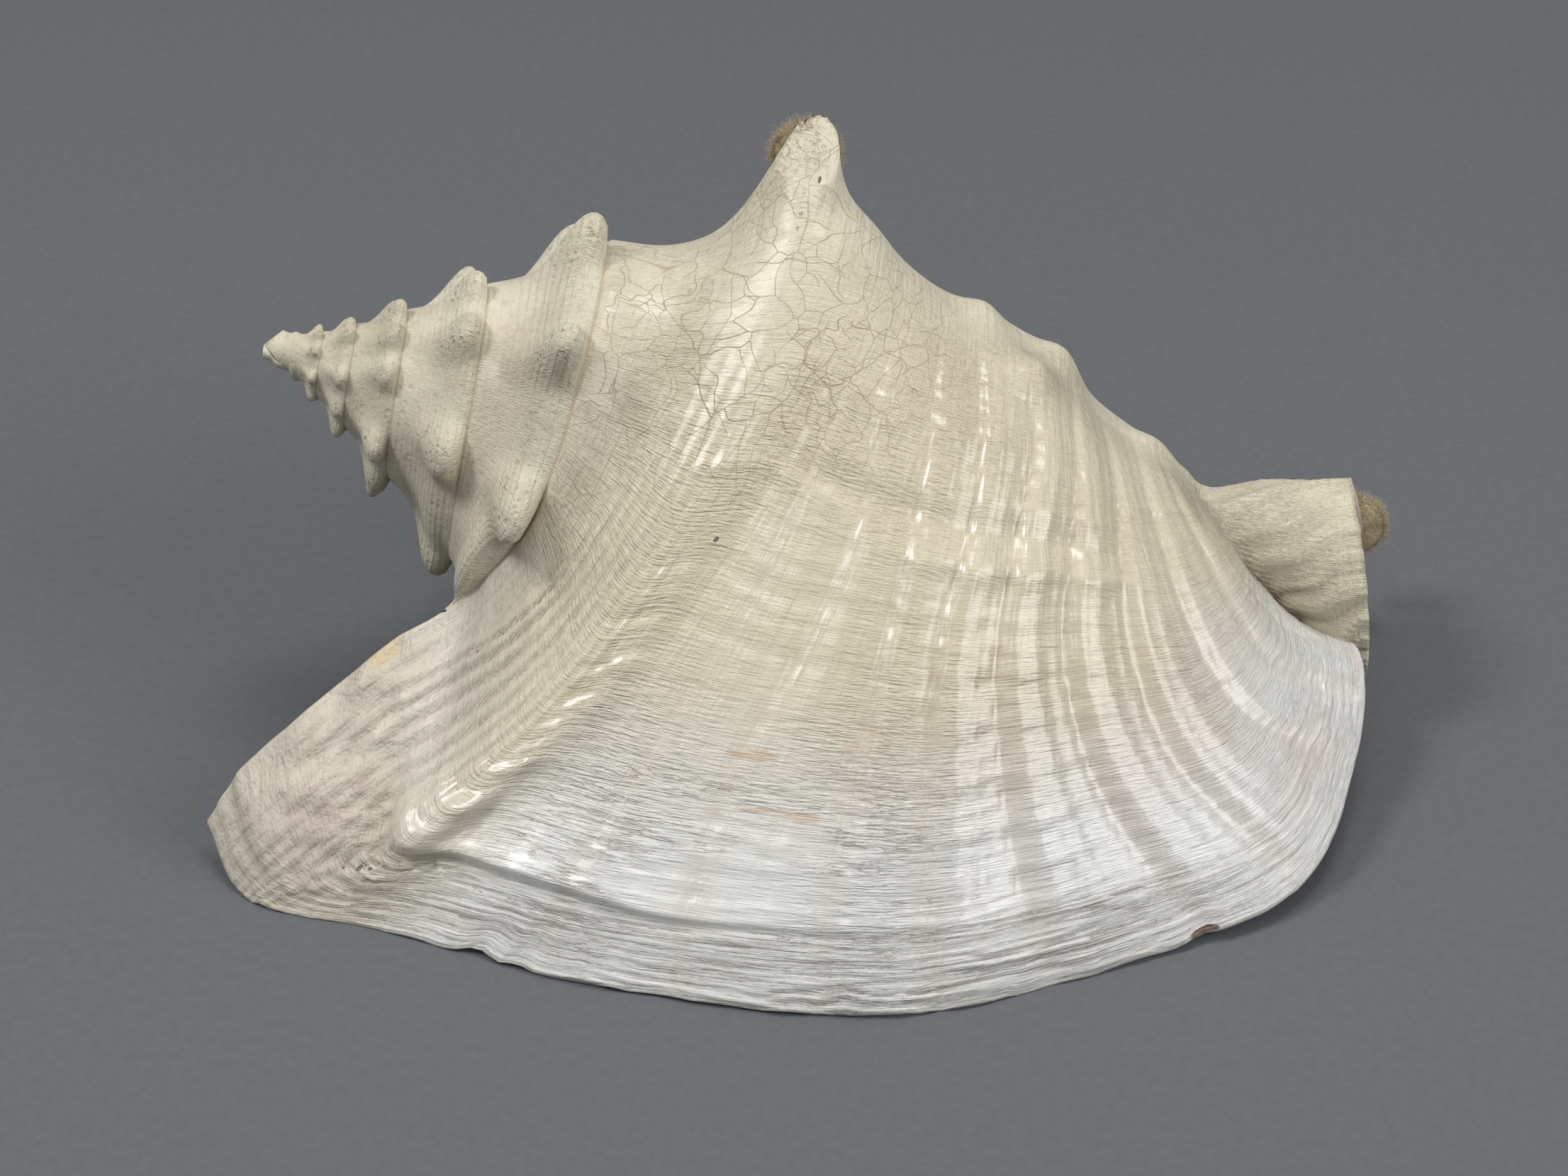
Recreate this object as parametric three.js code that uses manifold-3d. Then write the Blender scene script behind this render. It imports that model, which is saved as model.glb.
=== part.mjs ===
// Large marine conch, bleached, lying on the edge of its flared lip, with two felt pads stuck to it.
// Millimetres, +Z up. X runs along the shell from the spire (-X) to the siphonal canal (+X); the lip is
// at -Y. The origin is on the floor under the middle of the whole object.
//
// The shell's surface is one grid. Its first parameter is the growth angle, in degrees: it runs on from
// turn to turn, 90 is the crest of the body whorl and every 360 is one whorl. Its second parameter, V,
// runs across the whorl: 0 at the suture, 2 on the shoulder keel, 2.5 just below it (where the next
// whorl's suture lies on the spire), and then down the body whorl to 12.5 at the rim of the canal.
import * as THREE from 'three';
import { mergeVertices } from 'three/addons/utils/BufferGeometryUtils.js';
import Module from 'manifold-3d';

const wasm = await Module();
wasm.setup();

// ---- driving dimensions ------------------------------------------------------------------------
const AXIS_HEIGHT = 50;            // height of the coiling axis above the floor ...
const AXIS_STATION = 118;          // ... at this distance from the apex
const AXIS_DIP = 17;               // degrees: the spire points up, the canal down
const AXIS_YAW = 4;                // degrees: the canal end comes forward
const CANAL_BEND = [13, 19];       // sideways and upward bend of the canal's end
const BEND_FROM = 130;             // distance from the apex where the bend begins
const BEND_TO = 250;
const CANAL_END = 238;             // distance from the apex to the canal's rim
const CANAL_REACH = [12, -10, 55]; // the rim stands out this far here, over this many degrees either way

const GROWTH_ALONG = Math.log(1.55) / 360;     // a whorl is 1.55 times as far from the apex as the last
const GROWTH_ACROSS = Math.log(1.64) / 360;    // and 1.64 times as wide
const SPIRE_TURNS = 7;
const CREST = 90;                  // growth angle of the crest of the body whorl
const ATTACHED_TO = 204;           // the lip's posterior margin is free from here
const LIP_ANGLE = 228;             // growth angle of the lip edge, at its posterior tip
const BODY_START = ATTACHED_TO - 360;
const CAVITY_END = 0;              // growth angle where the modelled cavity stops, deep inside
const SPIRE_START = LIP_ANGLE - 360 * SPIRE_TURNS;

const WALL = 5;                    // shell wall
const LIP_WALL = 4.5;              // at the lip edge
const CANAL_WALL = 4;

const COLUMNS_PER_TURN = 30;
const V_KEEL = 2;
const V_BELOW_KEEL = 2.5;
const V_RIM = 12.5;
const V_STATIONS = [0, 0.6, 1.2, 1.7, 2, 2.5, 3.1, 3.8, 4.5, 5.2, 5.9, 6.4, 6.8, 7.2, 7.6, 8, 8.5, 9,
  9.5, 10.2, 11.2, 12.5];
const M = V_STATIONS.indexOf(V_BELOW_KEEL);

// Suture, and from ATTACHED_TO on the lip's free margin: growth angle, distance from the apex, radius.
// Before the first of these the suture is a plain logarithmic spiral.
const SUTURE = [
  [25, 61.8, 40.8], [55, 64, 42.5], [90, 65, 42.5], [125, 66, 42], [155, 66, 42], [175, 64.5, 42.5],
  [192, 60, 45], [204, 53, 51], [210, 41, 63], [216, 29, 79], [222, 20, 92], [228, 16, 103],
];

// Spiral ribs of the body whorl, each a line of constant V. start: distance from the apex and radius one
// whorl behind the lip; crest: the same on the crest; lip: where the rib meets the lip edge (X, Y, Z from
// the axis station); leave and arrive: the directions in which it leaves the crest and reaches the lip.
const RIBS = [
  { v: 2.0, start: [54, 48], crest: [107, 57], lip: [-104, -83, 0],
    leave: [-8, -95], arrive: [-150, -15, -50] },
  { v: 2.5, start: [55, 50], crest: [116, 58], lip: [-88, -87, 0],
    leave: [-5, -100], arrive: [-115, -35, -60] },
  { v: 3.5, start: [72, 43], crest: [127, 57], lip: [-49, -102, 0],
    leave: [-3, -105], arrive: [-60, -60, -65] },
  { v: 4.5, start: [93, 41], crest: [139, 55], lip: [-6, -112, 0],
    leave: [0, -105], arrive: [-25, -70, -70] },
  { v: 5.5, start: [113, 39], crest: [151, 53], lip: [28, -113, 0],
    leave: [5, -105], arrive: [0, -75, -70] },
  { v: 6.5, start: [135, 36], crest: [164, 48], lip: [67, -100, 0],
    leave: [10, -95], arrive: [20, -75, -65] },
  { v: 7.5, start: [158, 31], crest: [178, 38], lip: [107, -81, 5],
    leave: [15, -80], arrive: [45, -65, -45] },
  { v: 8.5, start: [178, 24], crest: [191, 31], lip: [124, -47, 15],
    leave: [20, -60], arrive: [50, -45, -25] },
  { v: 9.5, start: [192, 18], crest: [201, 25], lip: [126, -22, 26],
    leave: [12, -38], arrive: [60, -15, 0] },
  { v: 10.2, start: [202, 15], crest: [207, 20], lip: [118, -12, 17],
    leave: [8, -40], arrive: [20, 10, -30] },
  { v: 11.2, start: [218, 13], crest: [221, 22], lip: [122, -16, 14],
    leave: [0, -62], arrive: [0, 20, -35] },
  { v: 12.5, start: [236, 12], crest: [CANAL_END, 22], lip: [130, -18, 13],
    leave: [0, -62], arrive: [0, 20, -35] },
];

// Knobs on the spire's shoulder, as shares of the whorl they sit on.
const KNOB_SPACING = 60;           // degrees of growth
const KNOB_PHASE = 60;
const KNOB_HEIGHT = 0.17;          // of the whorl's radius
const KNOB_PLACE = 0.77;           // between the two sutures
const KNOB_WIDTH = 0.2;            // of the distance between the sutures
const KNOB_SPREAD = 14;            // degrees of growth

// Spines, nodules and swellings of the body whorl: growth angle, distance from the apex, height,
// half width along the growth (degrees), half width along the axis.
const BODY_KNOBS = [
  [72, 96, 20, 10, 10], [75, 102, 13, 24, 22],                       // main spine and its wide base
  [-80, 73, 25, 15, 13], [-25, 85, 14, 13, 12], [25, 94, 16, 14, 13],  // spines of the hidden side
  [78, 146, 2.5, 10, 5], [80, 166, 3.5, 9, 6], [100, 158, 3, 8, 6], [85, 192, 2.5, 9, 6],  // nodules
  [-85, 142, 7.5, 38, 34],                                            // swelling that touches the floor
];
const SPINE_CUT = 84;              // the main spine is broken off at this radius

// Felt pads, stuck where the shell would touch a table if it stood with its aperture up.
const PAD_RADIUS = 7.2;
const PAD_THICKNESS = 4.8;
const GAP = 0.3;                   // air between a pad and the shell

// ---- small helpers -----------------------------------------------------------------------------
const rad = THREE.MathUtils.degToRad;
const vec = (x, y, z) => new THREE.Vector3(x, y, z);
const clamp = THREE.MathUtils.clamp;

const ALONG = vec(
  Math.cos(rad(AXIS_DIP)) * Math.cos(rad(AXIS_YAW)),
  -Math.cos(rad(AXIS_DIP)) * Math.sin(rad(AXIS_YAW)),
  -Math.sin(rad(AXIS_DIP)),
);
const SIDE = vec(Math.sin(rad(AXIS_YAW)), Math.cos(rad(AXIS_YAW)), 0);
const UP = ALONG.clone().cross(SIDE);
const APEX = vec(0, 0, AXIS_HEIGHT).addScaledVector(ALONG, -AXIS_STATION);

// The coiling axis: straight, then bent along a parabola towards the end of the canal.
function axisPoint(x) {
  const bend = (Math.max(x - BEND_FROM, 0) / (BEND_TO - BEND_FROM)) ** 2;
  return APEX.clone().addScaledVector(ALONG, x)
    .addScaledVector(SIDE, bend * CANAL_BEND[0])
    .addScaledVector(UP, bend * CANAL_BEND[1]);
}

// A point at distance x along the axis, radius r, turned by angle from the back (0) over the top (90).
function around(x, r, angle) {
  return axisPoint(x)
    .addScaledVector(SIDE, r * Math.cos(rad(angle)))
    .addScaledVector(UP, r * Math.sin(rad(angle)));
}

// Cubic curve through values (numbers in arrays) at the given knots, with mean slopes as tangents.
function curveThrough(knots, values, at) {
  const last = knots.length - 1;
  const slope = (i) => values[i].map((a, c) => (values[i + 1][c] - a) / (knots[i + 1] - knots[i]));
  const tangent = (i) => {
    if (i === 0) return slope(0);
    if (i === last) return slope(last - 1);
    const before = knots[i] - knots[i - 1];
    const after = knots[i + 1] - knots[i];
    const [a, b] = [slope(i - 1), slope(i)];
    return a.map((s, c) => (s * after + b[c] * before) / (before + after));
  };
  let i = 0;
  while (i < last - 1 && at > knots[i + 1]) i++;
  const h = knots[i + 1] - knots[i];
  const t = clamp((at - knots[i]) / h, 0, 1);
  const [m0, m1] = [tangent(i), tangent(i + 1)];
  return values[i].map((a, c) => hermite(a, values[i + 1][c], h * m0[c], h * m1[c], t));
}

function hermite(a, b, da, db, t) {
  return (2 * t ** 3 - 3 * t ** 2 + 1) * a + (t ** 3 - 2 * t ** 2 + t) * da
    + (-2 * t ** 3 + 3 * t ** 2) * b + (t ** 3 - t ** 2) * db;
}

// ---- the surface of the shell --------------------------------------------------------------------
// Suture: logarithmic spiral from the apex, then the measured climb of the last half whorl.
function suture(theta) {
  if (theta > SUTURE[0][0]) {
    return curveThrough(SUTURE.map((p) => p[0]), SUTURE.map((p) => p.slice(1)), theta);
  }
  const birth = THREE.MathUtils.smoothstep(theta, SPIRE_START, SPIRE_START + 360);
  const x = 64 * Math.exp(GROWTH_ALONG * (theta - 55)) - 2 * (1 - birth);
  return [x, 42.5 * Math.exp(GROWTH_ACROSS * (theta - 55)) * birth];
}

// How far the canal's rim stands out beyond CANAL_END, on the side turned away from the lip.
function canalReach(theta) {
  const [height, at, width] = CANAL_REACH;
  return height * Math.exp(-(((theta - at) / width) ** 2));
}

// The points of all ribs at one growth angle: round the axis up to the crest, then along a cubic from
// the crest to the lip edge.
function ribPoints(theta) {
  const s = clamp((theta - BODY_START) / (CREST - BODY_START), 0, 1);
  const t = clamp((theta - CREST) / (LIP_ANGLE - CREST), 0, 1);
  return RIBS.map((rib) => {
    const x = rib.start[0] + (rib.crest[0] - rib.start[0]) * (1 - (1 - s) ** 2);
    let r = rib.start[1] * (rib.crest[1] / rib.start[1]) ** s;
    if (rib.v <= V_BELOW_KEEL) {
      const waist = curveThrough([0, 0.27, 0.63, 1], [[0], [-3], [-1], [0]], s)[0];
      r += waist;
    }
    const reach = clamp((rib.v - 9.5) / (V_RIM - 9.5), 0, 1) * canalReach(theta);
    if (t === 0) return around(x + reach, r, theta);
    const p = around(rib.crest[0], rib.crest[1], CREST);
    const ends = [p.toArray(), rib.lip, [rib.leave[0], rib.leave[1], 0], rib.arrive];
    return vec(...[0, 1, 2].map((c) => hermite(ends[0][c], ends[1][c], ends[2][c], ends[3][c], t)));
  });
}

// The smooth surface, with neither knobs nor ribs.
function surfacePoint(theta, v) {
  const [x0, r0] = suture(theta);
  const top = around(x0, r0, theta);
  if (theta < BODY_START - 0.01) {
    const [x1, r1] = suture(theta + 360);
    const [dx, dr] = [x1 - x0, r1 - r0];
    const ramp = around(x0 + 0.42 * dx, r0 + 0.42 * dr - 0.05 * dx, theta);
    const shoulder = around(x0 + 0.8 * dx, r0 + 0.8 * dr + 0.07 * dx, theta);
    const points = [top, ramp, shoulder, around(x1, r1, theta)].map((p) => p.toArray());
    return vec(...curveThrough([0, 1, V_KEEL, V_BELOW_KEEL], points, v));
  }
  const ribs = ribPoints(theta);
  const middle = top.clone().lerp(ribs[0], 0.5);
  const outward = middle.clone().sub(axisPoint(0.5 * (x0 + 80))).normalize();
  const crown = curveThrough([BODY_START, CREST, 150, LIP_ANGLE], [[-1], [-3.5], [-4], [5]], theta)[0];
  const points = [top, middle.addScaledVector(outward, crown), ...ribs].map((p) => p.toArray());
  return vec(...curveThrough([0, 1, ...RIBS.map((rib) => rib.v)], points, v));
}

// The previous whorl's wall inside the cavity, from just below the suture to the canal.
function parietalPoint(theta, v) {
  const [x1, r1] = suture(theta + 360);
  const shrink = Math.exp(1.3 * GROWTH_ACROSS * (theta - BODY_START));
  const first = RIBS[1];
  const points = RIBS.slice(1).map((rib) => {
    const share = (rib.start[0] - first.start[0]) / (CANAL_END - first.start[0]);
    const x = x1 + (CANAL_END - x1) * share;
    return around(x, rib === first ? r1 : rib.start[1] * shrink, theta).toArray();
  });
  return vec(...curveThrough(RIBS.slice(1).map((rib) => rib.v), points, v));
}

// Height of the knobs above the smooth surface: round bumps, higher on the later whorls.
function knobHeight(theta, x) {
  const bump = (at, spread, atX, width) => (
    Math.exp(-(((theta - at) / spread) ** 2) - ((x - atX) / width) ** 2));
  if (theta > BODY_START - KNOB_SPREAD) {
    return BODY_KNOBS.reduce((sum, [at, atX, height, spread, width]) => (
      sum + height * bump(at, spread, atX, width)), 0);
  }
  const nearest = KNOB_PHASE + KNOB_SPACING * Math.round((theta - KNOB_PHASE) / KNOB_SPACING);
  const [x0] = suture(theta);
  const [x1, r1] = suture(theta + 360);
  const place = x0 + KNOB_PLACE * (x1 - x0);
  return KNOB_HEIGHT * r1 * bump(nearest, KNOB_SPREAD, place, KNOB_WIDTH * (x1 - x0));
}

// The outer face: the smooth surface, raised away from the axis by the knobs.
function outerPoint(theta, v) {
  const p = surfacePoint(theta, v);
  const x = p.clone().sub(APEX).dot(ALONG);
  const outward = p.clone().sub(axisPoint(x));
  const radius = outward.length();
  const raised = radius + knobHeight(theta, x);
  return p.addScaledVector(outward, (Math.max(radius, Math.min(raised, SPINE_CUT)) - radius) / radius);
}

function wallThickness(theta, v) {
  const lip = clamp((theta - CREST) / (LIP_ANGLE - CREST), 0, 1) ** 3;
  const side = THREE.MathUtils.lerp(WALL, LIP_WALL, lip);
  return THREE.MathUtils.lerp(side, CANAL_WALL, THREE.MathUtils.smoothstep(v, 8, 10.2));
}

// The inner face of the wall: the smooth surface moved inwards along its normal.
function innerPoint(theta, v) {
  const [dTheta, dV] = [2, 0.1];
  const clampTheta = (a) => clamp(a, BODY_START, LIP_ANGLE);
  const clampV = (a) => clamp(a, 0, V_RIM);
  const eTheta = surfacePoint(clampTheta(theta + dTheta), v).sub(surfacePoint(clampTheta(theta - dTheta), v));
  const eV = surfacePoint(theta, clampV(v + dV)).sub(surfacePoint(theta, clampV(v - dV)));
  const normal = eTheta.cross(eV).normalize();
  return surfacePoint(theta, v).addScaledVector(normal, -wallThickness(theta, v));
}

// ---- the shell as one closed mesh ------------------------------------------------------------------
// Columns are numbered from the apex to the lip edge. The outer grid's suture row on a column is the
// same vertices as the row below the keel one turn earlier, so the spire closes by itself.
function buildShell() {
  const step = 360 / COLUMNS_PER_TURN;
  const lipColumn = SPIRE_TURNS * COLUMNS_PER_TURN;
  const freeColumn = lipColumn - Math.round((LIP_ANGLE - ATTACHED_TO) / step);
  const startColumn = freeColumn - COLUMNS_PER_TURN;
  const deepColumn = lipColumn - Math.round((LIP_ANGLE - CAVITY_END) / step);
  const J = V_STATIONS.length - 1;
  const angle = (i) => SPIRE_START + i * step;

  const positions = [];
  const triangles = [];
  const seen = new Map();
  const vertex = (key, make) => {
    if (!seen.has(key)) {
      seen.set(key, positions.length / 3);
      positions.push(...make().toArray());
    }
    return seen.get(key);
  };
  const outer = (i, j) => {
    if (j === M && i <= startColumn) return outer(i + COLUMNS_PER_TURN, 0);
    if (i === 0 || (j === 0 && i <= COLUMNS_PER_TURN)) return vertex('apex', () => around(-0.5, 0, 0));
    return vertex(`outer ${i} ${j}`, () => outerPoint(angle(i), V_STATIONS[j]));
  };
  const parietal = (i, j) => {
    if (i === startColumn) return outer(i, j);
    return vertex(`parietal ${i} ${j}`, () => parietalPoint(angle(i), V_STATIONS[j]));
  };
  const inner = (i, j) => {
    if (j === 0 && i <= freeColumn) return parietal(i - COLUMNS_PER_TURN, M + 1);
    return vertex(`inner ${i} ${j}`, () => innerPoint(angle(i), V_STATIONS[j]));
  };
  const triangle = (a, b, c) => {
    if (a !== b && b !== c && c !== a) triangles.push(a, b, c);
  };
  const quad = (a, b, c, d) => {
    triangle(a, b, c);
    triangle(a, c, d);
  };
  const sheet = (at, i0, i1, j0, j1) => {
    for (let i = i0; i < i1; i++) {
      for (let j = j0; j < j1; j++) quad(at(i, j), at(i + 1, j), at(i + 1, j + 1), at(i, j + 1));
    }
  };

  sheet(outer, 0, startColumn, 0, M);                              // spire
  sheet(outer, startColumn, lipColumn, 0, J);                      // body whorl and lip
  sheet(parietal, deepColumn - COLUMNS_PER_TURN, startColumn, M + 1, J);
  for (let i = deepColumn; i < lipColumn; i++) {                   // inner face, wound the other way
    for (let j = 0; j < J; j++) quad(inner(i, j), inner(i, j + 1), inner(i + 1, j + 1), inner(i + 1, j));
  }
  for (let i = freeColumn; i < lipColumn; i++) {                   // edge of the free margin
    quad(outer(i + 1, 0), outer(i, 0), inner(i, 0), inner(i + 1, 0));
  }
  for (let j = 0; j < J; j++) {                                    // lip edge
    quad(outer(lipColumn, j + 1), outer(lipColumn, j), inner(lipColumn, j), inner(lipColumn, j + 1));
  }
  const deepParietal = deepColumn - COLUMNS_PER_TURN;              // end wall, deep in the cavity
  for (let j = 1; j <= M; j++) {
    triangle(parietal(deepParietal, M + 1), inner(deepColumn, j + 1), inner(deepColumn, j));
  }
  for (let j = M + 1; j < J; j++) {
    quad(inner(deepColumn, j + 1), inner(deepColumn, j),
      parietal(deepParietal, j), parietal(deepParietal, j + 1));
  }
  for (let i = deepColumn; i < lipColumn; i++) {                   // rim of the canal
    quad(outer(i, J), outer(i + 1, J), inner(i + 1, J), inner(i, J));
  }
  const core = vertex('core', () => axisPoint(CANAL_END - 1));     // end of the columella
  for (let i = startColumn; i < deepColumn; i++) triangle(outer(i, J), outer(i + 1, J), core);
  triangle(outer(deepColumn, J), inner(deepColumn, J), core);
  triangle(inner(deepColumn, J), parietal(deepParietal, J), core);
  for (let i = deepParietal; i < startColumn; i++) triangle(parietal(i, J), parietal(i + 1, J), core);

  const geometry = new THREE.BufferGeometry();
  geometry.setAttribute('position', new THREE.Float32BufferAttribute(positions, 3));
  geometry.setIndex(triangles);
  return geometry;
}

// ---- joining and cutting ----------------------------------------------------------------------------
function toSolid(geometry) {
  const bare = geometry.clone();
  bare.deleteAttribute('normal');
  bare.deleteAttribute('uv');
  const merged = mergeVertices(bare, 1e-4);
  return new wasm.Manifold(new wasm.Mesh({
    numProp: 3,
    vertProperties: new Float32Array(merged.attributes.position.array),
    triVerts: new Uint32Array(merged.index.array),
  }));
}

function toGeometry(solid) {
  const mesh = solid.getMesh();
  const geometry = new THREE.BufferGeometry();
  geometry.setAttribute('position', new THREE.BufferAttribute(new Float32Array(mesh.vertProperties), 3));
  geometry.setIndex(new THREE.BufferAttribute(new Uint32Array(mesh.triVerts), 1));
  return geometry;
}

// ---- felt pads -----------------------------------------------------------------------------------------
// A disc whose face is turned along outward and whose inner face stands on the point seat.
function padGeometry(seat, outward, grow) {
  const disc = new THREE.CylinderGeometry(PAD_RADIUS + grow, PAD_RADIUS + grow, PAD_THICKNESS + 2 * grow, 24);
  const turn = new THREE.Quaternion().setFromUnitVectors(vec(0, 1, 0), outward);
  const centre = seat.clone().addScaledVector(outward, PAD_THICKNESS / 2);
  disc.applyQuaternion(turn);
  disc.translate(centre.x, centre.y, centre.z);
  return disc;
}

const PADS = [
  { name: 'pad_spine', seat: around(100, 73, 69), outward: SIDE },
  { name: 'pad_canal', seat: around(CANAL_END + 12, 20, -12), outward: SIDE },
];

// ---- assembly --------------------------------------------------------------------------------------------
let shell = toSolid(buildShell());
for (const pad of PADS) shell = shell.subtract(toSolid(padGeometry(pad.seat, pad.outward, GAP)));
const below = new THREE.BoxGeometry(600, 600, 60);
below.translate(0, 0, -30);
shell = shell.subtract(toSolid(below));

const pieces = [
  { name: 'shell', geometry: toGeometry(shell), color: 0xefe6d8, roughness: 0.45 },
  ...PADS.map((pad) => (
    { name: pad.name, geometry: padGeometry(pad.seat, pad.outward, 0), color: 0x9c8160, roughness: 0.95 })),
];

const whole = new THREE.Box3();
for (const piece of pieces) {
  piece.geometry.computeBoundingBox();
  whole.union(piece.geometry.boundingBox);
}
const middle = whole.getCenter(vec(0, 0, 0));

const group = new THREE.Group();
for (const piece of pieces) {
  piece.geometry.translate(-middle.x, -middle.y, 0);
  const { color, roughness } = piece;
  const material = new THREE.MeshStandardMaterial({ color, roughness, metalness: 0 });
  const mesh = new THREE.Mesh(piece.geometry, material);
  mesh.name = piece.name;
  group.add(mesh);
}

export default group;
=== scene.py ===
"""Bleached conch shell with two felt pads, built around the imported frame.

The file is laid out as a Blender add-on and run as a script: the operators below make the shell, the
pads and the stage. Lengths are in millimetres up to the point where a mesh is written, in metres.

The shell is one closed mesh on a grid of two parameters. The first is the growth angle, in degrees: it
runs on from turn to turn, 90 is the crest of the body whorl and 228 the lip edge. The second, V, runs
across the whorl: 0 at the suture, 2 on the shoulder keel, 2.5 just below it, 12.5 on the canal's rim.
"""
import math

import bpy
import numpy as np
from bpy.props import FloatProperty, FloatVectorProperty, IntProperty, PointerProperty
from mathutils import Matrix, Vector


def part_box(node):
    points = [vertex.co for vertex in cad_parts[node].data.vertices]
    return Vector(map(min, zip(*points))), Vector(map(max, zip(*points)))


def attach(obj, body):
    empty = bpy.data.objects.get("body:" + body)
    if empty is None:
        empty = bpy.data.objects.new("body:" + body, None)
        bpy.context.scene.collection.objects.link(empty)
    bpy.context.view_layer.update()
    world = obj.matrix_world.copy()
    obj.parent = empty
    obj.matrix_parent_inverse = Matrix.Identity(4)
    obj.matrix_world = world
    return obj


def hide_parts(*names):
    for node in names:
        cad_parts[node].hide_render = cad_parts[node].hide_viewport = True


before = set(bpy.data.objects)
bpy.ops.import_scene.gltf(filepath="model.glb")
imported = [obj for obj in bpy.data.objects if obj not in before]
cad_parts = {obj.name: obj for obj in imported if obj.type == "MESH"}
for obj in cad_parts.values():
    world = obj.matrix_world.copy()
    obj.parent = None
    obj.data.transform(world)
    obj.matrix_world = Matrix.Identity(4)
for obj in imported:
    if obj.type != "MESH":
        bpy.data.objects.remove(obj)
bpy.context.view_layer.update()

bl_info = {
    "name": "Conch shell",
    "version": (1, 0, 0),
    "blender": (4, 5, 0),
    "location": "View3D > Sidebar > Conch",
    "description": "Builds a bleached conch shell with felt pads on a plain stage",
    "category": "Add Mesh",
}

MM = 0.001
TINY = 1e-6

# ---- driving dimensions of the shell, as in the solid part ----
AXIS_HEIGHT = 50
AXIS_STATION = 118
AXIS_DIP = 17
AXIS_YAW = 4
CANAL_BEND = (13, 19)
BEND_FROM = 130
BEND_TO = 250
CANAL_END = 238
CANAL_REACH = (12, -10, 55)

GROWTH_ALONG = math.log(1.55) / 360
GROWTH_ACROSS = math.log(1.64) / 360
SPIRE_TURNS = 7
CREST = 90
ATTACHED_TO = 204
LIP_ANGLE = 228
BODY_START = ATTACHED_TO - 360
SPIRE_START = ATTACHED_TO - 360 * SPIRE_TURNS
V_KEEL = 2
V_BELOW_KEEL = 2.5
V_RIM = 12.5
CANAL_WALL = 4
V_CANAL = 9.5
WALL = 5
PAD_RADIUS = 7.2
PAD_THICKNESS = 4.8

# How finely the shell is cut: steps in V, and every how many columns or rows the coarser sheets take one.
KEEL_ROWS = 72
RIB_ROWS = 120
CANAL_ROWS = 19
LIP_COLUMNS = 48
LIP_COLUMN_STEP = 8
SPIRE_ROW_STEP = 4
INNER_COLUMN_STEP = 6
FLOOR_FROM_V = 3.05

# How the first whorls stand off the spiral, along and across the axis, and how soon that fades, in degrees.
YOUNG_ALONG, YOUNG_ACROSS, YOUNG_SPAN = -2.4, 3.2, 430
BIRTH_ALONG, BIRTH_SPAN = -1.7, 330

# Suture and, from ATTACHED_TO on, the lip's free margin: growth angle, distance from the apex, radius.
SUTURE = np.array([
    (25, 61.8, 40.8), (55, 64, 42.5), (90, 65, 42.5), (125, 66, 42), (155, 66, 42), (175, 64.5, 42.5),
    (192, 60, 45), (204, 53, 51), (210, 41, 63), (216, 29, 79), (222, 20, 92), (228, 16, 103),
])

# Lines of constant V on the body whorl: V; distance from the apex and radius one whorl behind the lip;
# the same on the crest; the point on the lip edge; directions of leaving the crest and reaching the lip.
RIBS = (
    (2.0, (54, 48), (107, 57), (-104, -83, 0), (-8, -95, 0), (-150, -15, -50)),
    (2.5, (53, 51), (116, 58), (-88, -87, 0), (-5, -100, 0), (-115, -35, -60)),
    (3.5, (72, 43), (127, 57), (-49, -102, 0), (-3, -105, 0), (-60, -60, -65)),
    (4.5, (93, 41), (139, 55), (-6, -112, 0), (0, -105, 0), (-25, -70, -70)),
    (5.5, (113, 39), (151, 53), (28, -113, 0), (5, -105, 0), (0, -75, -70)),
    (6.5, (135, 36), (164, 48), (67, -100, 0), (10, -95, 0), (20, -75, -65)),
    (7.5, (158, 31), (178, 38), (107, -81, 5), (15, -80, 0), (45, -65, -45)),
    (8.5, (178, 24), (191, 31), (124, -47, 15), (20, -60, 0), (50, -45, -25)),
    (9.5, (192, 18), (201, 25), (126, -22, 26), (12, -38, 0), (60, -15, 0)),
    (10.2, (202, 15), (207, 20), (118, -12, 17), (8, -40, 0), (20, 10, -30)),
    (11.2, (218, 13), (221, 22), (122, -16, 14), (0, -62, 0), (0, 20, -35)),
    (12.5, (236, 12), (238, 22), (130, -18, 13), (0, -62, 0), (0, 20, -35)),
)
RIB_V, RIB_START, RIB_CREST, RIB_LIP, RIB_LEAVE, RIB_ARRIVE = (
    np.array(column, float) for column in zip(*RIBS))

# Spines and swellings: growth angle, distance from the apex, height, half width in degrees and in mm.
BODY_KNOBS = (
    (73, 99.3, 24, 9.0, 6.8), (75, 103.5, 13.0, 22, 19),
    (-80, 73, 25, 15, 13), (-25, 85, 14, 13, 12), (25, 94, 16, 14, 13), (-146, 60, 7, 7, 6),
    (78, 146, 2.5, 10, 5), (80, 166, 3.5, 9, 6), (100, 158, 3, 8, 6), (85, 192, 2.5, 9, 6),
    (-85, 142, 7.5, 38, 34),
)
# The plane on which the tip of the main spine is broken off: a point round the axis, and its normal.
BREAK_POINT = (99, 75.8, 75)
BREAK_TILT = (0.04, -0.28, 0.93)
BREAK_NORMAL = np.array(BREAK_TILT) / np.linalg.norm(BREAK_TILT)
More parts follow.
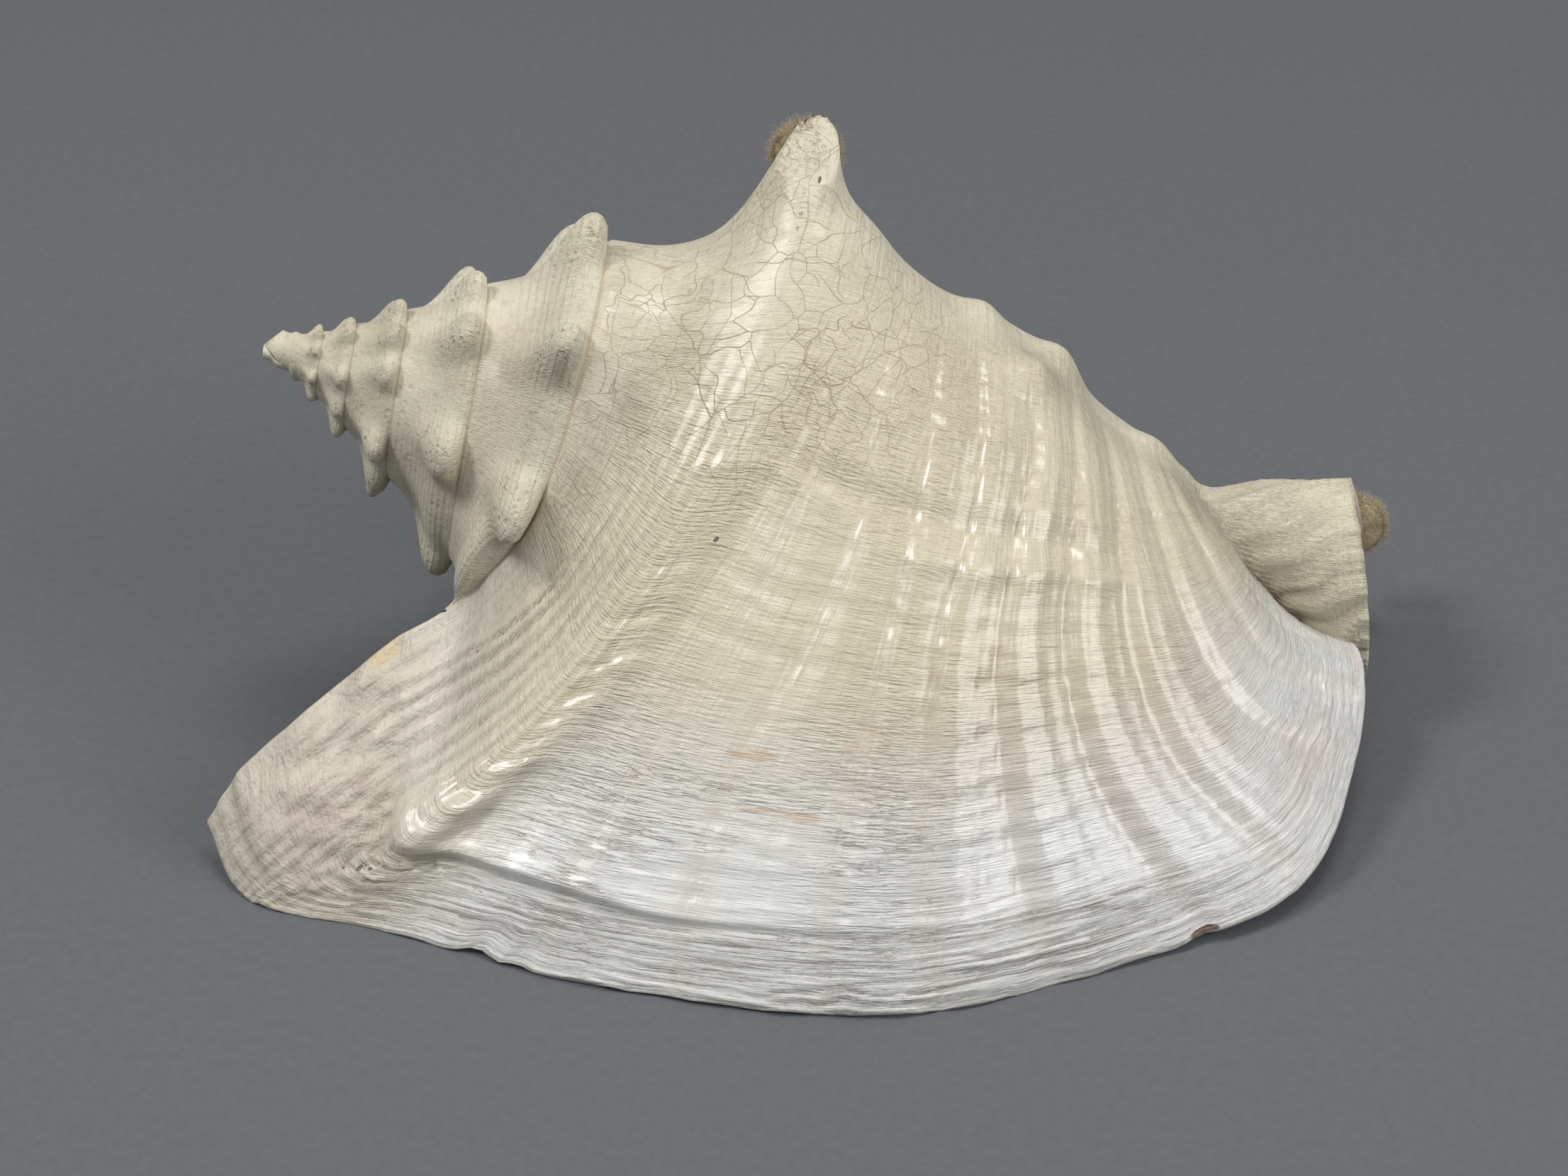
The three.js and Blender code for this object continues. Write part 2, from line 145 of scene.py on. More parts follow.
# Knobs of the spire: growth angles, whorl by whorl from the body back to the apex. The first ones are
# narrow and have their own heights, as shares of the radius, and half widths in degrees.
SPIRE_KNOBS = (
    -189, -234, -277, -325, -372, -420,
    -472, -551, -602, -633, -680, -728, -776,
    -828, -843, -886, -937, -966, -994, -1040, -1085, -1130,
    -1174, -1203, -1245, -1282, -1333, -1360, -1405, -1450, -1495, -1535,
    -1570, -1620, -1667, -1705, -1741, -1780, -1820, -1860, -1900,
)
KNOB_PLACE = 0.74
KNOB_SPREAD = 8.6
LAST_KNOB_HEIGHTS = (0.30, 0.31, 0.24, 0.23, 0.22, 0.24)
LAST_KNOB_SPREADS = (6.2, 6.0, 7.2, 7.2, 7.2, 7.2)

# Grooves between the broad spiral ribs: the V of each at these growth angles.
GROOVE_ANGLES = (84, 108, 120, 135, 156, 180, 204, 228)
GROOVES = (
    (2.60, 2.60, 2.70, 2.80, 2.85, 2.85, 2.90, 3.00),
    (3.00, 3.00, 3.05, 3.15, 3.30, 3.25, 3.30, 3.40),
    (3.50, 3.50, 3.55, 3.90, 4.00, 3.88, 3.95, 4.10),
    (4.30, 4.30, 4.40, 4.52, 4.60, 4.68, 4.75, 4.90),
    (4.95, 5.03, 5.15, 5.25, 5.15, 5.30, 5.42, 5.60),
    (5.90, 5.90, 6.00, 5.85, 5.75, 5.90, 6.07, 6.20),
    (6.90, 6.66, 6.60, 6.50, 6.35, 6.50, 6.80, 7.00),
    (7.50, 7.30, 7.20, 7.05, 6.95, 7.05, 7.35, 7.60),
    (8.10, 7.90, 7.75, 7.65, 7.60, 7.75, 8.15, 8.45),
    (8.70, 8.50, 8.35, 8.30, 8.25, 8.35, 8.75, 9.00),
    (9.30, 9.10, 9.00, 9.00, 8.95, 9.00, 9.30, 9.50),
)
RIB_HEIGHTS = (0.4, 0.7, 1.5, 2.4, 3.3, 3.8, 3.6, 3.0, 2.2, 1.2)
RIB_PARTS = (2, 3, 4, 5, 4, 3, 3, 3, 2, 2)
# Strength of the ribs along the growth angle. This table and those below are pairs: places, then values.
RIB_STRENGTH = ((84, 100, 118, 142, 200, 222, 228), (0, 0.15, 0.5, 1, 1, 0.6, 0.35))

# Cords between suture and keel: distance apart in V, how far they slide along V as the shell grows, and
# their height.
CORD_PITCH = 0.18
CORD_SLIDE = ((84, 120, 150, 170, 190, 204, 214), (0.1, 0, 0.05, 0, -0.25, -0.45, -0.55))
CORD_HEIGHT = ((100, 130, 150, 170, 190, 204, 210), (0, 0.12, 0.45, 1.05, 1.5, 1.2, 0))

# The keel's ridge: its V and its height along the growth angle.
KEEL_PLACE = ((84, 110, 130, 150, 165, 175, 185, 195, 203, 208),
              (2.0, 2.1, 2.3, 2.42, 2.52, 2.55, 2.4, 2.18, 1.98, 1.9))
KEEL_HEIGHT = ((100, 130, 160, 185, 199, 204, 208), (0, 0.8, 1.5, 2.3, 3.2, 3.0, 0))

# The lip's upper layer: over V, the growth angle at which it ends and how far it stands proud there.
SHELF_END = ((1.4, 1.9, 2.4, 3.2, 3.8, 4.5, 5.5, 9), (204, 204.5, 205.8, 208, 209, 208.6, 208, 207))
SHELF_HEIGHT = ((1.5, 1.95, 2.6, 3.4, 4.3, 5.2, 6), (0, 1.6, 2.8, 2.0, 0.8, 0.25, 0))

# What the worn edges have lost, in mm: the lip's over the growth angle, the free margin's over V.
LIP_ROUNDING = ((226.4, 227.2, 227.7, 228), (0, 0.2, 0.6, 1.5))
MARGIN_ROUNDING = ((0, 0.04, 0.12, 0.25), (1.2, 0.5, 0.15, 0))

# Single strong growth waves of the body: height, growth angle, half width, and V where each comes and goes.
STRONG_WAVES = (
    (0.45, 140.5, 1.3, 1.6, 1.9, 3.6, 4.0), (0.5, 121, 2.2, 2.0, 2.4, 5.2, 6.6),
    (0.9, 146, 2.8, 4.0, 5.0, 6.6, 7.4), (-0.9, 138, 3.2, 2.6, 3.6, 6.2, 7.0),
)

# Notches in the lip edge: depth in degrees, V, half width in V.
EDGE_NOTCHES = ((2.2, 3.12, 0.1), (1.2, 3.34, 0.07), (1.6, 6.97, 0.05))

# Small marks of the finish: growth angle, V, half width in degrees, half width in V, strength.
BORE_HOLES = (
    (150, 2.56, 0.42, 0.03, 1), (81, 1.81, 0.75, 0.016, 1), (211.1, 1.95, 0.4, 0.024, 0.8),
    (211.7, 1.86, 0.3, 0.018, 0.8), (212.3, 1.87, 0.45, 0.027, 0.8), (213.9, 1.75, 0.25, 0.015, 0.8),
    (209.6, 2.02, 0.2, 0.012, 0.8),
)
STAINS = ((180, 3.96, 1.2, 0.2, 1), (189, 4.31, 1.1, 0.3, 1), (176, 4.75, 2.5, 0.25, 0.5))
PITTED_STREAK = ((87, 1.69, 7, 0.04, 1),)
EDGE_CHIP = ((227.4, 6.97, 1.3, 0.08, 1),)
YELLOW_MARGIN = ((209.3, 0.05, 1.3, 0.13, 1),)
# Blushes of the body whorl, in the same order.
ROSY_SPOTS = (
    (168, 7.45, 16, 0.5, 0.6), (205, 8.1, 9, 0.45, 0.9), (186, 6.75, 14, 0.2, 0.6),
    (214, 0.95, 9, 0.8, 1.0), (110, 11, 45, 1.6, 0.45), (185, 5.75, 20, 0.25, 0.5),
    (200, 0.9, 9, 0.6, 0.7), (178, 4.9, 14, 0.3, 0.25), (150, 0.35, 35, 0.5, 0.5),
    (75, 1.8, 14, 0.7, 0.25),
)


# ---- curves ----
def hermite(a, b, slope_a, slope_b, t):
    """Cubic from a to b that leaves and arrives with the given slopes, t from 0 to 1."""
    return ((2 * t**3 - 3 * t**2 + 1) * a + (t**3 - 2 * t**2 + t) * slope_a
            + (3 * t**2 - 2 * t**3) * b + (t**3 - t**2) * slope_b)


def curve_through(knots, values, at):
    """Piecewise cubic through values at the knots; a tangent is the mean of its neighbours' slopes."""
    knots, values, at = (np.asarray(a, float) for a in (knots, values, at))
    step = np.diff(knots).reshape((-1,) + (1,) * (values.ndim - 1))
    slope = np.diff(values, axis=0) / step
    middle = (slope[:-1] * step[1:] + slope[1:] * step[:-1]) / (step[1:] + step[:-1])
    tangent = np.concatenate([slope[:1], middle, slope[-1:]])
    i = np.clip(np.searchsorted(knots, at, side="right") - 1, 0, len(knots) - 2)
    width = knots[i + 1] - knots[i]
    t = np.clip((at - knots[i]) / width, 0, 1)
    shape = at.shape + (1,) * (values.ndim - 1)
    width, t = width.reshape(shape), t.reshape(shape)
    return hermite(values[i], values[i + 1], width * tangent[i], width * tangent[i + 1], t)


def rise(x, start, end):
    """0 up to start, 1 from end on, and 3t^2 - 2t^3 in between."""
    t = np.clip((x - start) / (end - start), 0, 1)
    return t * t * (3 - 2 * t)


def fall(x, start, end):
    """1 up to start and 0 from end on."""
    return 1 - rise(x, start, end)


def band(x, start, full, fade, end):
    """0 up to start, 1 from full to fade, 0 from end on."""
    return rise(x, start, full) * fall(x, fade, end)


def bell(x, middle, width):
    """exp(-((x - middle) / width)^2)."""
    return np.exp(-((x - middle) / width) ** 2)


def ripple(a, b, seed, waves=9):
    """Sum of cosine waves in seeded directions over the plane (a, b), between about -1 and 1."""
    random = np.random.default_rng(seed)
    total = 0
    for k in range(waves):
        turn, shift = random.uniform(0, 2 * math.pi, 2)
        pace = 0.7 + 2.6 * k / waves
        total = total + np.cos(pace * (a * math.cos(turn) + b * math.sin(turn)) + shift) / pace**0.7
    return total / math.sqrt(waves)


# ---- the coiling axis ----
DIP, YAW = math.radians(AXIS_DIP), math.radians(AXIS_YAW)
ALONG = np.array([math.cos(DIP) * math.cos(YAW), -math.cos(DIP) * math.sin(YAW), -math.sin(DIP)])
SIDE = np.array([math.sin(YAW), math.cos(YAW), 0])
UP = np.cross(ALONG, SIDE)
APEX = np.array([0, 0, AXIS_HEIGHT]) - AXIS_STATION * ALONG


def axis_point(x):
    """The apex plus x along the axis, bent along a parabola towards the end of the canal."""
    x = np.asarray(x, float)[..., None]
    bend = (np.clip(x - BEND_FROM, 0, None) / (BEND_TO - BEND_FROM)) ** 2
    return APEX + x * ALONG + bend * (CANAL_BEND[0] * SIDE + CANAL_BEND[1] * UP)


def around(x, r, angle):
    """The axis point at x plus r times the direction at the angle: 0 is the back, 90 the top."""
    turn = np.radians(np.asarray(angle, float))[..., None]
    r = np.asarray(r, float)[..., None]
    return axis_point(x) + r * (np.cos(turn) * SIDE + np.sin(turn) * UP)


def along_axis(points):
    """Distance of each point from the apex, measured along the straight axis."""
    return (points - APEX) @ ALONG


def from_break(points):
    """Height of each point over the plane of the broken tip, and its distance from the tip's middle."""
    offset = points - around(*BREAK_POINT)
    over = offset @ BREAK_NORMAL
    return over, np.linalg.norm(offset - over[..., None] * BREAK_NORMAL, axis=-1)


# ---- the smooth surface ----
def suture(theta):
    """Distance from the apex and radius of the suture: a logarithmic spiral, then the last climb.

    In the first turn the radius grows from nothing, so that the apex is blunt. The free margin waves."""
    late = curve_through(SUTURE[:, 0], SUTURE[:, 1:], np.maximum(theta, SUTURE[0, 0]))
    wave = 3.0 * ripple(theta * 0.62, theta * 0, 15) * band(theta, ATTACHED_TO, 207, 220, 226)
    late = late + np.stack([-0.6 * wave, wave], axis=-1)
    start, start_x, start_r = SUTURE[1]
    unborn = 1 - np.clip((theta - SPIRE_START) / BIRTH_SPAN, 0, 1)
    young = np.exp((SPIRE_START - theta) / YOUNG_SPAN)
    x = start_x * np.exp(GROWTH_ALONG * (theta - start)) + YOUNG_ALONG * young + BIRTH_ALONG * unborn
    r = (start_r * np.exp(GROWTH_ACROSS * (theta - start)) + YOUNG_ACROSS * young) * (1 - unborn**4) ** 0.5
    early = theta <= SUTURE[0, 0]
    return np.where(early, x, late[..., 0]), np.where(early, r, late[..., 1])


def rib_points(theta):
    """Points of the lines of constant V at the given growth angles.

    Up to the crest they turn about the axis while x eases out and r grows by a constant ratio; from the
    crest to the lip each is one cubic."""
    s = np.clip((theta - BODY_START) / (CREST - BODY_START), 0, 1)[:, None]
    t = np.clip((theta - CREST) / (LIP_ANGLE - CREST), 0, 1)[:, None, None]
    x = RIB_START[:, 0] + (RIB_CREST[:, 0] - RIB_START[:, 0]) * (1 - (1 - s) ** 2)
    r = RIB_START[:, 1] * (RIB_CREST[:, 1] / RIB_START[:, 1]) ** s
    waist = curve_through((0, 0.27, 0.63, 1), (0, -3, -1, 0), s[:, 0])[:, None]
    r = r + np.where(RIB_V <= V_BELOW_KEEL, waist, 0)
    reach, at, width = CANAL_REACH
    x = x + np.clip((RIB_V - V_CANAL) / (V_RIM - V_CANAL), 0, 1) * reach * bell(theta, at, width)[:, None]
    back = around(x, r, theta[:, None] + 0 * x)
    crest = around(RIB_CREST[:, 0], RIB_CREST[:, 1], np.full(len(RIBS), CREST))
    front = hermite(crest, RIB_LIP, RIB_LEAVE, RIB_ARRIVE, t)
    return np.where((theta <= CREST)[:, None, None], back, front)


def spire_surface(theta, v):
    """Across each whorl of the spire a curve through suture, ramp, shoulder and next suture."""
    x0, r0 = suture(theta)
    x1, r1 = suture(theta + 360)
    dx, dr = x1 - x0, r1 - r0
    points = np.stack([
        around(x0, r0, theta),
        around(x0 + 0.42 * dx, r0 + 0.42 * dr - 0.06 * dx, theta),
        around(x0 + 0.76 * dx, r0 + 0.8 * dr + 0.06 * dx, theta),
        around(x1, r1, theta),
    ])
    return np.swapaxes(curve_through((0, 1, V_KEEL, V_BELOW_KEEL), points, v), 0, 1)


def body_surface(theta, v):
    """Across the body whorl a curve through the suture, the ramp's middle and the lines of constant V."""
    x0, r0 = suture(theta)
    top = around(x0, r0, theta)
    ribs = rib_points(theta)
    x1, r1 = suture(np.minimum(theta, BODY_START) + 360)
    ribs[:, 1] = np.where((theta <= BODY_START)[:, None], around(x1, r1, theta), ribs[:, 1])
    middle = (top + ribs[:, 0]) / 2
    outward = middle - axis_point((x0 + 80) / 2)
    outward /= np.linalg.norm(outward, axis=1)[:, None]
    crown = curve_through((BODY_START, CREST, 150, LIP_ANGLE), (-1, -3.5, -4, 5), theta)[:, None]
    points = np.concatenate([top[None], (middle + outward * crown)[None], np.swapaxes(ribs, 0, 1)])
    return np.swapaxes(curve_through(np.concatenate([[0, 1], RIB_V]), points, v), 0, 1)


def cavity_floor(theta, v):
    """The previous whorl's wall inside the cavity: its lines shrink by a constant ratio per degree.

    It sinks a little round -218 degrees, where it would show through the ramp."""
    x1, r1 = suture(theta + 360)
    shrink = np.exp(1.3 * GROWTH_ACROSS * (theta - BODY_START))
    start_x, start_r = RIB_START[1:, 0], RIB_START[1:, 1]
    share = (start_x - start_x[0]) / (CANAL_END - start_x[0])
    x = x1[:, None] + (CANAL_END - x1[:, None]) * share
    r = np.where(RIB_V[1:] == V_BELOW_KEEL, r1[:, None], start_r * shrink[:, None])
    r = r - 3.5 * bell(theta, -218, 20)[:, None] * (RIB_V[1:] < 5)
    points = np.swapaxes(around(x, r, theta[:, None] + 0 * x), 0, 1)
    return np.swapaxes(curve_through(RIB_V[1:], points, v), 0, 1)


def face_normals(points):
    """Unit cross products of the grid's two difference vectors, pointing out of the shell."""
    normal = np.cross(np.gradient(points, axis=0), np.gradient(points, axis=1))
    return normal / np.maximum(np.linalg.norm(normal, axis=-1, keepdims=True), 1e-9)


# ---- relief ----
# Here a column holds the growth angles and a row the V of a grid, so that sums of the two span it.
def blunt(near):
    """1 - (1 - near)^2: turns a bell into one with a broad round top."""
    return 1 - (1 - near) ** 2


def knob_field(column, x):
    """Sum of bells over growth angle and distance from the apex, for spire knobs and body spines."""
    total = np.zeros_like(x)
    for at, along, height, spread, width in BODY_KNOBS:
        total += height * bell(column, at, spread) * bell(x, along, width)
    for k, at in enumerate(SPIRE_KNOBS):
        (x0, _), (x1, r1) = suture(np.float64(at)), suture(np.float64(at + 360))
        place = x0 + KNOB_PLACE * (x1 - x0)
        if k < len(LAST_KNOB_HEIGHTS):
            share, spread, apex_side = LAST_KNOB_HEIGHTS[k], LAST_KNOB_SPREADS[k], 0.23
        else:
            share, spread, apex_side = 0.214 + 0.02 * math.sin(2.4 * k + 3), KNOB_SPREAD, 0.28
        width = (x1 - x0) * np.where(x > place, 0.22, apex_side)
        slope = bell(column, at, 1.9 * spread) * bell(x, place - 0.1 * (x1 - x0), 1.5 * width)
        top = blunt(bell(column, at, spread) * bell(x, place, width))
        total += share * r1 * (0.92 * top + 0.1 * slope)
    return total


def raise_knobs(points, column):
    """Points moved away from the axis by the knob field; the main spine is broken off on a slant."""
    x = along_axis(points)
    outward = points - axis_point(x)
    radius = np.maximum(np.linalg.norm(outward, axis=-1), TINY)
    raised = points + outward * (knob_field(column, x) / radius)[..., None]
    spoke = outward / radius[..., None]
    over, ring = from_break(raised)
    broken = 0.35 * np.cos(ring * 2.3) * fall(ring, 4, 6) + 0.3 * ripple(x, 0.9 * column, 5)
    near_spine = (ring < 22) & (radius > 40)
    cut = np.where(near_spine, np.maximum(over - broken, 0) / np.maximum(spoke @ BREAK_NORMAL, 0.2), 0)
    return raised - cut[..., None] * spoke


def groove_lines(column):
    """V of every groove along the growth angle."""
    return np.stack([curve_through(GROOVE_ANGLES, places, column) for places in GROOVES], axis=-1)


def rib_relief(column, row):
    """Broad ribs: from each groove a steep rise and a long fall, 1 - exp(-f/0.15) times (1 - f)^0.8.

    Fainter grooves cut each rib in a few parts."""
    lines = groove_lines(column)
    low, high = lines[..., :-1], lines[..., 1:]
    share = np.clip((row[..., None] - low) / (high - low), 0, 1)
    inside = (share > 0) & (share < 1)
    profile = (1 - np.exp(-share / 0.15)) * (1 - share) ** 0.8
    profile = profile - 0.2 * (1 - np.abs(np.sin(math.pi * np.array(RIB_PARTS) * share)) ** 0.7)
    height = (np.array(RIB_HEIGHTS) * profile * inside).sum(axis=2)
    return height * np.interp(column, *RIB_STRENGTH)


def cord_wave(across):
    """|sin| over V for the cords, and 1 on the band of V that has them."""
    return np.abs(np.sin(math.pi * (across - 0.08) / CORD_PITCH)), band(across, 0.72, 1.0, 2.05, 2.3)


def cord_relief(column, row):
    """Narrow cords between suture and keel: |sin|^0.7 over V, sliding to the suture near the lip."""
    across = row - curve_through(*CORD_SLIDE, column)
    across = across + 0.035 * ripple(across * 5, column * 0.04, 27)
    wave, window = cord_wave(across)
    uneven = 0.85 + 0.4 * ripple(across * 4, column * 0.05, 26)
    return wave**0.7 * window * uneven * np.interp(column, *CORD_HEIGHT)


def keel_relief(column, row):
    """The keel: gentle on the suture's side, steep below, growing towards a blunt nose near the lip."""
    off = row - curve_through(*KEEL_PLACE, column)
    profile = bell(off, 0, np.where(off < 0, 0.42, 0.27))
    wrinkles = 0.5 * ripple(column * 1.3 + row * 8, row * 5, 81) * bell(off, -0.1, 0.35)
    return profile * curve_through(*KEEL_HEIGHT, column) + wrinkles * band(column, 150, 182, 200, 206)


def shelf_angle(row):
    """Growth angle at which the upper layer of the lip ends, as a curve over V."""
    return curve_through(*SHELF_END, row) + 0.5 * ripple(row * 4.0, row * 0, 11)


def shelf_relief(column, row):
    """The upper layer stands proud at its end, falls away behind it and drops into a trough."""
    off = column - shelf_angle(row)
    lifted = np.exp(np.minimum(off, 0) / 9) * fall(off, -0.3, 1.1)
    return np.interp(row, *SHELF_HEIGHT) * (lifted - 0.45 * bell(off, 1.6, 1.3))


def flake_teeth(column, row):
    """Saw teeth over the growth angle whose edges wander and bow over the ribs, coarse and fine."""
    wander = (1.6 * ripple(row * 2.3, column * 0.10, 21) + 1.1 * ripple(row * 7.0, column * 0.25, 22)
              + 0.5 * ripple(row * 17, column * 0.6, 24) - 0.35 * rib_relief(column, row))
    return np.mod((column + wander) / 3.3, 1), np.mod((column + 0.8 * wander) / 1.9 + 0.3, 1)


def flake_relief(column, row):
    """Worn growth layers near the lip: each tooth rises towards the lip and breaks off."""
    near = rise(column - shelf_angle(row), -1, 2.5) * band(row, 1.2, 2.2, 8.6, 9.3)
    near = near * (1 - 0.75 * rise(row, 6.2, 7.4))
    near = np.maximum(near, 0.35 * rise(column, 186, 200) * band(row, 2.8, 3.2, 5.4, 6.4))
    coarse, fine = flake_teeth(column, row)
    depth = 0.75 + 0.95 * ripple(row * 2.6, column * 0.3, 23)
    return near * np.clip(depth, 0.05, None) * (0.8 * coarse**1.6 + 0.35 * fine)


def growth_relief(column, row):
    """Growth waves of the body whorl: cosines of the growth angle, bowed over the ribs, strong in patches."""
    bent = (column + 2.2 * ripple(row * 0.9, column * 0.03, 31) + 0.5 * ripple(row * 6, column * 0.1, 32)
            - 0.7 * rib_relief(column, row) + 1.6 * bell(row, 2.3, 0.6))
    patch = np.clip(0.5 + 0.6 * ripple(row * 1.7, column * 0.09, 33), 0, 1.4)
    waves = patch * sum(height * np.cos(2 * math.pi * bent / length + shift)
                        for height, length, shift in ((0.10, 2.6, 0), (0.10, 4.3, 1), (0.12, 9.1, 2)))
    strong = sum(height * bell(bent, at, width) * band(row, *reach)
                 for height, at, width, *reach in STRONG_WAVES)
    window = rise(column, 92, 112) * band(row, 0.1, 0.5, 9.0, 9.6)
    return window * np.where(row < V_KEEL, 0.5, 1.0) * (waves + strong)


def lobe_relief(column, row):
    """The lip's posterior lobe: a soft swelling with folds, and a valley between it and the keel's nose."""
    on_lobe = rise(column, 203, 209) * fall(row, 1.7, 2.3)
    swelling = 2.6 * bell(column, 217, 7) * bell(row, 0.95, 0.75)
    folds = 1.1 * ripple(row * 6.5, column * 0.6, 41) * bell(column, 211, 6.5) * fall(row, 1.0, 1.6)
    swirl = 0.6 * ripple(row * 10, column * 0.85, 42) * fall(column, 216, 224)
    rings = 0.16 * np.cos(2 * math.pi * (column + ripple(row * 3, column * 0.2, 43)) / 2.3)
    valley = -1.8 * bell(column, 207.5, 2.6) * bell(row, 1.55, 0.5)
    return on_lobe * (swelling + folds + swirl + rings * rise(column, 216, 220)) + valley


def seam_relief(column, row):
    """The whorl laps up onto the one before it: a thin step just off the suture, up to the free margin."""
    uneven = 0.8 + 0.35 * ripple(column * 0.3, row * 2, 71)
    return 0.75 * uneven * rise(row, 0, 0.07) * bell(row, 0.07, 0.4) * (column < 200)


def canal_relief(column, row):
    """Fan of growth waves on the canal, in arcs that sweep from its root to its rim."""
    fan = column * 0.5 + 26 * np.sqrt(np.clip(row - 9.2, 0, None)) + 2.5 * ripple(row * 3, column * 0.06, 61)
    folds = 0.35 * np.cos(2 * math.pi * fan / 9.5) + 0.4 * ripple(fan * 0.8, row * 0.5, 62)
    return (folds + 0.1 * np.cos(2 * math.pi * fan / 2.3)) * rise(row, 9.3, 10.0)


def edge_retreat(row):
    """How many degrees the lip edge stands back: slow waves, small chips and a few deeper notches."""
    chips = np.clip(ripple(row * 9.0, row * 0, 51), 0, None) * 0.55
    chips += np.clip(ripple(row * 27, row * 0, 52), 0, None) * 0.25
    notches = sum(depth * bell(row, at, width) for depth, at, width in EDGE_NOTCHES)
    return (0.35 + chips + notches) * band(row, 0.5, 1.6, 8.8, 9.4)


def slide_edge(points, column, row):
    """Points drawn back along their rows by the edge's retreat, growing from 210 degrees to the lip."""
    shown = column - edge_retreat(row) * rise(column, 210, LIP_ANGLE)
    place = np.interp(shown, column[:, 0], np.arange(len(column)))
    low = np.minimum(place.astype(int), len(column) - 2)
    part, rows = (place - low)[..., None], np.arange(row.size)
    return points[low, rows] * (1 - part) + points[low + 1, rows] * part


def wall_thickness(column, row):
    """Even over the body, thinner towards the lip, the free margin and the canal."""
    thinner = 0.5 * np.clip((column - CREST) / (LIP_ANGLE - CREST), 0, 1) ** 3
    wall = WALL - thinner + (CANAL_WALL - WALL + thinner) * rise(row, 8, 10.2)
    margin = np.where(column > ATTACHED_TO, np.interp(row, (0, 0.35), (0.4, 1)), 1)
    return wall * np.interp(column, (221, 228), (1, 0.4)) * margin


# ---- the shell mesh ----
class Quilt:
    """Gathers points and faces; each face corner keeps its growth angle and V for the UV map."""

    def __init__(self):
        self.points, self.fields, self.faces, self.corners, self.count = [], [], [], [], 0

    def add(self, points, fields):
        """Adds a grid of points, with fields as one array per name, and returns their numbers."""
        shape = points.shape[:-1]
        self.points.append(points.reshape(-1, 3))
        self.fields.append({k: np.broadcast_to(f, shape).reshape(-1) for k, f in fields.items()})
        numbers = self.count + np.arange(int(np.prod(shape))).reshape(shape)
        self.count += numbers.size
        return numbers

    def sheet(self, ids, theta, v, flip=False):
        """Quads over a grid of point numbers; flip turns the faces round."""
        place = np.stack(np.broadcast_arrays(theta[:, None] / 10, v[None, :]), axis=-1)
        corner = [(0, 0), (1, 0), (1, 1), (0, 1)]
        if flip:
            corner.reverse()
        rows, columns = ids.shape[0] - 1, ids.shape[1] - 1
        pick = [(slice(a, a + rows), slice(b, b + columns)) for a, b in corner]
        quads = np.stack([ids[p] for p in pick], axis=-1).reshape(-1, 4)
        self.faces += quads.tolist()
        self.corners.append(np.stack([place[p] for p in pick], axis=-2).reshape(-1, 2))

    def polygon(self, ids, theta, v):
        """One face through the numbered points, with one place for all of its corners."""
        self.faces.append([int(i) for i in ids])
        self.corners.append(np.tile([theta / 10, v], (len(ids), 1)))

    def mesh(self, name):
        """The mesh, in metres, with its UV map and one float attribute per field."""
        used = np.unique(np.concatenate([np.asarray(f) for f in self.faces]))
        renumber = np.zeros(self.count, int)
        renumber[used] = np.arange(len(used))
        renumber = renumber.tolist()
        faces = [[renumber[i] for i in face] for face in self.faces]
        mesh = bpy.data.meshes.new(name)
        mesh.from_pydata(np.concatenate(self.points)[used] * MM, [], faces)
        layer = mesh.uv_layers.new(name="growth")
        layer.data.foreach_set("uv", np.concatenate(self.corners).astype(np.float32).ravel())
        for key in self.fields[0]:
            attribute = mesh.attributes.new(key, "FLOAT", "POINT")
            values = np.concatenate([f[key] for f in self.fields])[used]
            attribute.data.foreach_set("value", values.astype(np.float32))
        mesh.polygons.foreach_set("use_smooth", np.ones(len(mesh.polygons), bool))
        mesh.update()
        return mesh


def turn_offsets():
    """Growth angles of one turn's columns, from where the lip comes free: finest round the main spine."""
    return np.concatenate([
        np.arange(0, 36, 1.5), np.arange(36, 216, 4), np.arange(216, 231, 0.75), np.arange(231, 360, 1.0)])


def row_stations():
    """V of the rows: fine over the cords and ribs, wider on the canal."""
    return np.concatenate([
        np.linspace(0, V_BELOW_KEEL, KEEL_ROWS + 1), np.linspace(V_BELOW_KEEL, V_CANAL, RIB_ROWS + 1)[1:],
        np.linspace(V_CANAL, V_RIM, CANAL_ROWS + 1)[1:]])


